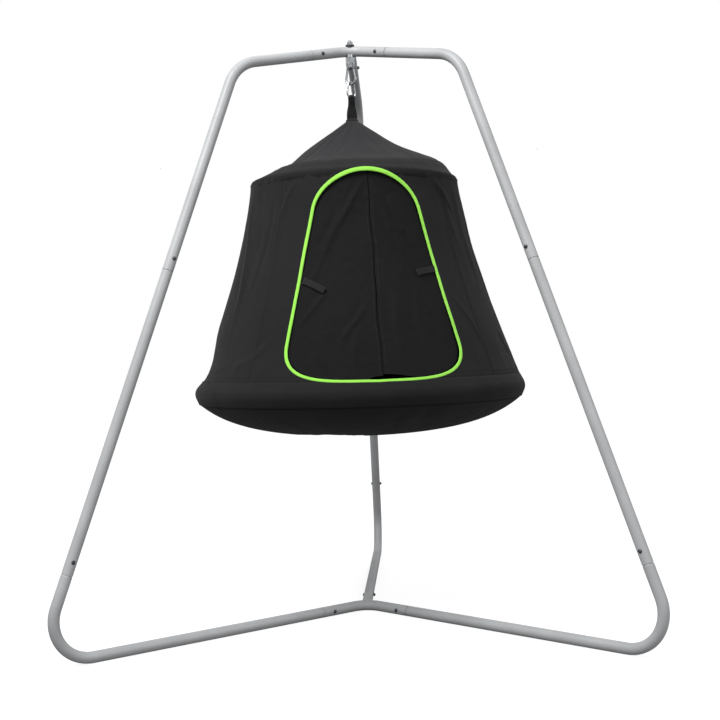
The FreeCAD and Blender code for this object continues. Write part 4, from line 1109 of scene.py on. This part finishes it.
def makeLoop():
    bendZ = loop["top"] - loop["fold"] - 0.0025
    mid = loop["fold"] + loop["thick"] / 2
    side = []
    for a in np.linspace(0, math.pi / 2, 12):
        side.append((mid * math.sin(a), bendZ + mid * math.cos(a)))
    down = smoothProfile([(mid, bendZ), (mid * 0.72, bendZ - 0.012),
                          (loop["thick"] * 0.56, bendZ - 0.030),
                          (loop["thick"] * 0.53, (bendZ + loop["low"]) / 2 - 0.012),
                          (loop["thick"] * 0.52, roof["tipHeight"] + 0.0030)], 40)
    half = np.concatenate([np.array(side), down[1:]])
    whole = np.concatenate([half[::-1] * np.array([-1, 1]), half[1:]])
    n = len(whole)
    k = 17
    height = np.clip((whole[:, 1] - loop["low"]) / (loop["top"] - loop["low"]), 0, 1)
    width = mix(loop["lowWidth"], loop["topWidth"], step((height - 0.10) / 0.80))
    cs, sn = math.cos(loop["turn"]), math.sin(loop["turn"])
    grad = np.gradient(whole, axis=0)
    grad /= np.linalg.norm(grad, axis=1)[:, None]
    normal = np.stack([-grad[:, 1], grad[:, 0]], 1)
    normal *= np.where(normal[:, 0] * whole[:, 0] + normal[:, 1] * 0.002 < 0, -1, 1)[:, None]
    points, uvs = [], []
    run = runAlong(whole)
    for i in range(n):
        gather = step((height[i] - 0.45) / 0.4)
        for j in range(k):
            s = j / (k - 1) * 2 - 1
            x = s * width[i] / 2
            wave = gather * 0.0009 * math.cos(s * 3 * math.pi) - gather * 0.0012 * s * s
            y = whole[i, 0] + normal[i, 0] * wave
            z = whole[i, 1] + normal[i, 1] * wave
            points.append((x * cs - y * sn, x * sn + y * cs, z))
            uvs.append((x, run[i]))
    obj = meshObject("hangingLoop", points, gridFaces(n, k), uvs)
    finishWith(obj, webbing)
    thicken(obj, loop["thick"], 0.0)
    recalc(obj)
    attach(obj, "pod")
    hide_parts("hanging_loop")
    return obj


makeLoop()


def makeTipPatch():
    # eight-sided webbing patch that closes the roof tip round the loop
    rings = [(0.0, 0.0046), (0.008, 0.0046), (0.0165, 0.0040), (0.0205, 0.0016), (0.0216, -0.0040),
             (0.0222, -0.0085)]
    n = 48
    points, uvs = [(0, 0, roof["tipHeight"] + rings[0][1])], [(0, 0)]
    for r, z in rings[1:]:
        for i in range(n):
            a = tau * i / n
            corner = 1.0 + 0.035 * math.cos(4 * a)
            points.append((r * corner * math.cos(a), r * corner * math.sin(a), roof["tipHeight"] + z))
            uvs.append((r * math.cos(a), r * math.sin(a)))
    faces = [(0, 1 + i, 1 + (i + 1) % n) for i in range(n)]
    for k in range(len(rings) - 2):
        a, b = 1 + k * n, 1 + (k + 1) * n
        faces += [(a + i, b + i, b + (i + 1) % n, a + (i + 1) % n) for i in range(n)]
    obj = meshObject("roofTipPatch", points, faces, uvs)
    fixNormals(obj, lambda c: Vector((0, 0, 1)))
    finishWith(obj, webbing)
    thicken(obj, 0.0015)
    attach(obj, "pod")
    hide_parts("roof_tip_patch")
    return obj


makeTipPatch()
print("stage: tabs, straps and hanging loop made")


# one stitch row: path to evenly spaced thread capsules
def stitchTree():
    tree = bpy.data.node_groups.new("stitchRow", "GeometryNodeTree")
    face = tree.interface
    face.new_socket("Geometry", in_out="INPUT", socket_type="NodeSocketGeometry")
    for label, value in (("Spacing", 0.005), ("Stitch Length", 0.0036), ("Thread Radius", 0.0004)):
        socket = face.new_socket(label, in_out="INPUT", socket_type="NodeSocketFloat")
        socket.default_value = value
    face.new_socket("Thread", in_out="INPUT", socket_type="NodeSocketMaterial")
    face.new_socket("Geometry", in_out="OUTPUT", socket_type="NodeSocketGeometry")
    link = tree.links.new
    begin = tree.nodes.new("NodeGroupInput")
    end = tree.nodes.new("NodeGroupOutput")
    toCurve = tree.nodes.new("GeometryNodeMeshToCurve")
    toPoints = tree.nodes.new("GeometryNodeCurveToPoints")
    toPoints.mode = "LENGTH"
    ball = tree.nodes.new("GeometryNodeMeshUVSphere")
    ball.inputs["Segments"].default_value = 6
    ball.inputs["Rings"].default_value = 4
    ball.inputs["Radius"].default_value = 1.0
    half = tree.nodes.new("ShaderNodeMath")
    half.operation = "MULTIPLY"
    half.inputs[1].default_value = 0.5
    size = tree.nodes.new("ShaderNodeCombineXYZ")
    place = tree.nodes.new("GeometryNodeInstanceOnPoints")
    real = tree.nodes.new("GeometryNodeRealizeInstances")
    paint = tree.nodes.new("GeometryNodeSetMaterial")
    link(begin.outputs["Geometry"], toCurve.inputs["Mesh"])
    link(toCurve.outputs["Curve"], toPoints.inputs["Curve"])
    link(begin.outputs["Spacing"], toPoints.inputs["Length"])
    link(begin.outputs["Stitch Length"], half.inputs[0])
    link(begin.outputs["Thread Radius"], size.inputs["X"])
    link(begin.outputs["Thread Radius"], size.inputs["Y"])
    link(half.outputs["Value"], size.inputs["Z"])
    link(toPoints.outputs["Points"], place.inputs["Points"])
    link(toPoints.outputs["Rotation"], place.inputs["Rotation"])
    link(ball.outputs["Mesh"], place.inputs["Instance"])
    link(size.outputs["Vector"], place.inputs["Scale"])
    link(place.outputs["Instances"], real.inputs["Geometry"])
    link(real.outputs["Geometry"], paint.inputs["Geometry"])
    link(begin.outputs["Thread"], paint.inputs["Material"])
    link(paint.outputs["Geometry"], end.inputs["Geometry"])
    return tree


stitches = stitchTree()


def socketOf(tree, label):
    for item in tree.interface.items_tree:
        if item.name == label and item.in_out == "INPUT":
            return item.identifier


def sew(name, paths, thread, body, slot, spacing=0.0050, length=0.0036, radius=0.00045):
    points, edges = [], []
    for path in paths:
        first = len(points)
        points += [tuple(p) for p in path]
        edges += [(first + i, first + i + 1) for i in range(len(path) - 1)]
    mesh = bpy.data.meshes.new(name)
    mesh.from_pydata(points, edges, [])
    obj = bpy.data.objects.new(name, mesh)
    scene.collection.objects.link(obj)
    mod = obj.modifiers.new("stitches", "NODES")
    mod.node_group = stitches
    for label, value in (("Spacing", spacing), ("Stitch Length", length),
                         ("Thread Radius", radius), ("Thread", thread)):
        mod[socketOf(stitches, label)] = value
    bake(obj)
    obj.data.shade_smooth()
    if not obj.data.materials:
        obj.data.materials.append(thread)
    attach(obj, body)
    return obj


def wallLine(psi, z, out):
    return wallCloth(np.asarray(psi, float), np.asarray(z, float), out)


sewOut = {"cloth": 0.00025}
zz = np.linspace(wall["high"] - 0.008, wall["low"] + 0.01, 130)
seamPaths = []
for i in range(4):
    for off in (-0.0055, 0.0055):
        psi = tau / 8 + i * tau / 4 + off / wallRadius(zz)
        seamPaths.append(wallLine(psi, zz, sewOut["cloth"]))
sew("wallSeamStitches", seamPaths, greyThread, "pod", "webbing", 0.0046, 0.0034, 0.00042)

psi = np.linspace(0, tau, 700)
hemPaths = [wallLine(psi, np.full_like(psi, pod["sleeveTop"] + 0.0045), sewOut["cloth"]),
            wallLine(psi, np.full_like(psi, pod["sleeveTop"] + 0.0165), sewOut["cloth"])]
doorClear = []
for k, line in enumerate(hemPaths):
    level = [pod["sleeveTop"] + 0.0045, pod["sleeveTop"] + 0.0165][k]
    reach = math.asin((float(halfAt(level)) + 0.009) / float(wallRadius(level)))
    keep = (np.abs((psi + math.pi) % tau - math.pi) > reach)
    doorClear.append(line[keep])
sew("hemStitches", doorClear, greyThread, "pod", "webbing", 0.0046, 0.0034, 0.00042)

edgePath, edgeNormals, edgeZ = doorPath(0.0036, 0.0, 0.005)
sew("bindingStitches", [edgePath + edgeNormals * 0.0019], limeThread, "pod", "lime_piping",
    0.0042, 0.0030, 0.00038)

roofPaths = []
for i in range(4):
    for off in (-0.005, 0.005):
        share = np.linspace(0.09, roof["seamShare"] - 0.01, 90)
        r = mix(roof["tipRadius"], pod["shoulderRadius"], share)
        line = roofSurface(tau / 8 + i * tau / 4 + off / r, share)
        roofPaths.append(line + np.array([0, 0, 0.0004]))
psi = np.linspace(0, tau, 420)
for level in (roof["seamShare"] + 0.010, roof["seamShare"] + 0.026):
    roofPaths.append(roofSurface(psi, np.full_like(psi, level)) + np.array([0, 0, 0.0024]))
sew("roofStitches", roofPaths, greyThread, "pod", "webbing", 0.0046, 0.0034, 0.00042)


def curtainHem(side, inset):
    z = np.linspace(0.865 if side > 0 else 0.840, 1.462, 130)
    x = side * (curtain["gap"] + inset) + meetingLine(z)
    p = np.arcsin(x / wallRadius(z))
    line = curtainSurface(side, p, z)
    radial = outFrom(p)
    return line + radial * 0.0003


sew("leftHemStitches", [curtainHem(-1, 0.009)], blackThread, "flap_left", "flap_cloth",
    0.0042, 0.0030, 0.0004)
sew("rightHemStitches", [curtainHem(1, 0.009)], blackThread, "flap_right", "flap_cloth",
    0.0042, 0.0030, 0.0004)


def boxStitch(path, normals, width, lift):
    # a square with a cross, near the sewn end of a strip
    n = 9
    a, b = path[1], path[n]
    t = b - a
    across = np.cross(t / np.linalg.norm(t), normals[4])
    w = width * 0.34
    up = normals[4] * lift
    p0, p1, p2, p3 = a - across * w + up, b - across * w + up, b + across * w + up, a + across * w + up
    seg = lambda u, v: np.array([u + (v - u) * s for s in np.linspace(0, 1, 8)])
    return [seg(p0, p1), seg(p1, p2), seg(p2, p3), seg(p3, p0), seg(p0, p2), seg(p1, p3)]


sew("leftTabStitches", boxStitch(leftTabPath, leftTabNormals, tab["width"], 0.0011), blackThread,
    "flap_left", "webbing", 0.0030, 0.0023, 0.00035)
sew("rightTabStitches", boxStitch(rightTabPath, rightTabNormals, tab["width"], 0.0011), blackThread,
    "flap_right", "webbing", 0.0030, 0.0023, 0.00035)
print("stage: stitching sewn")
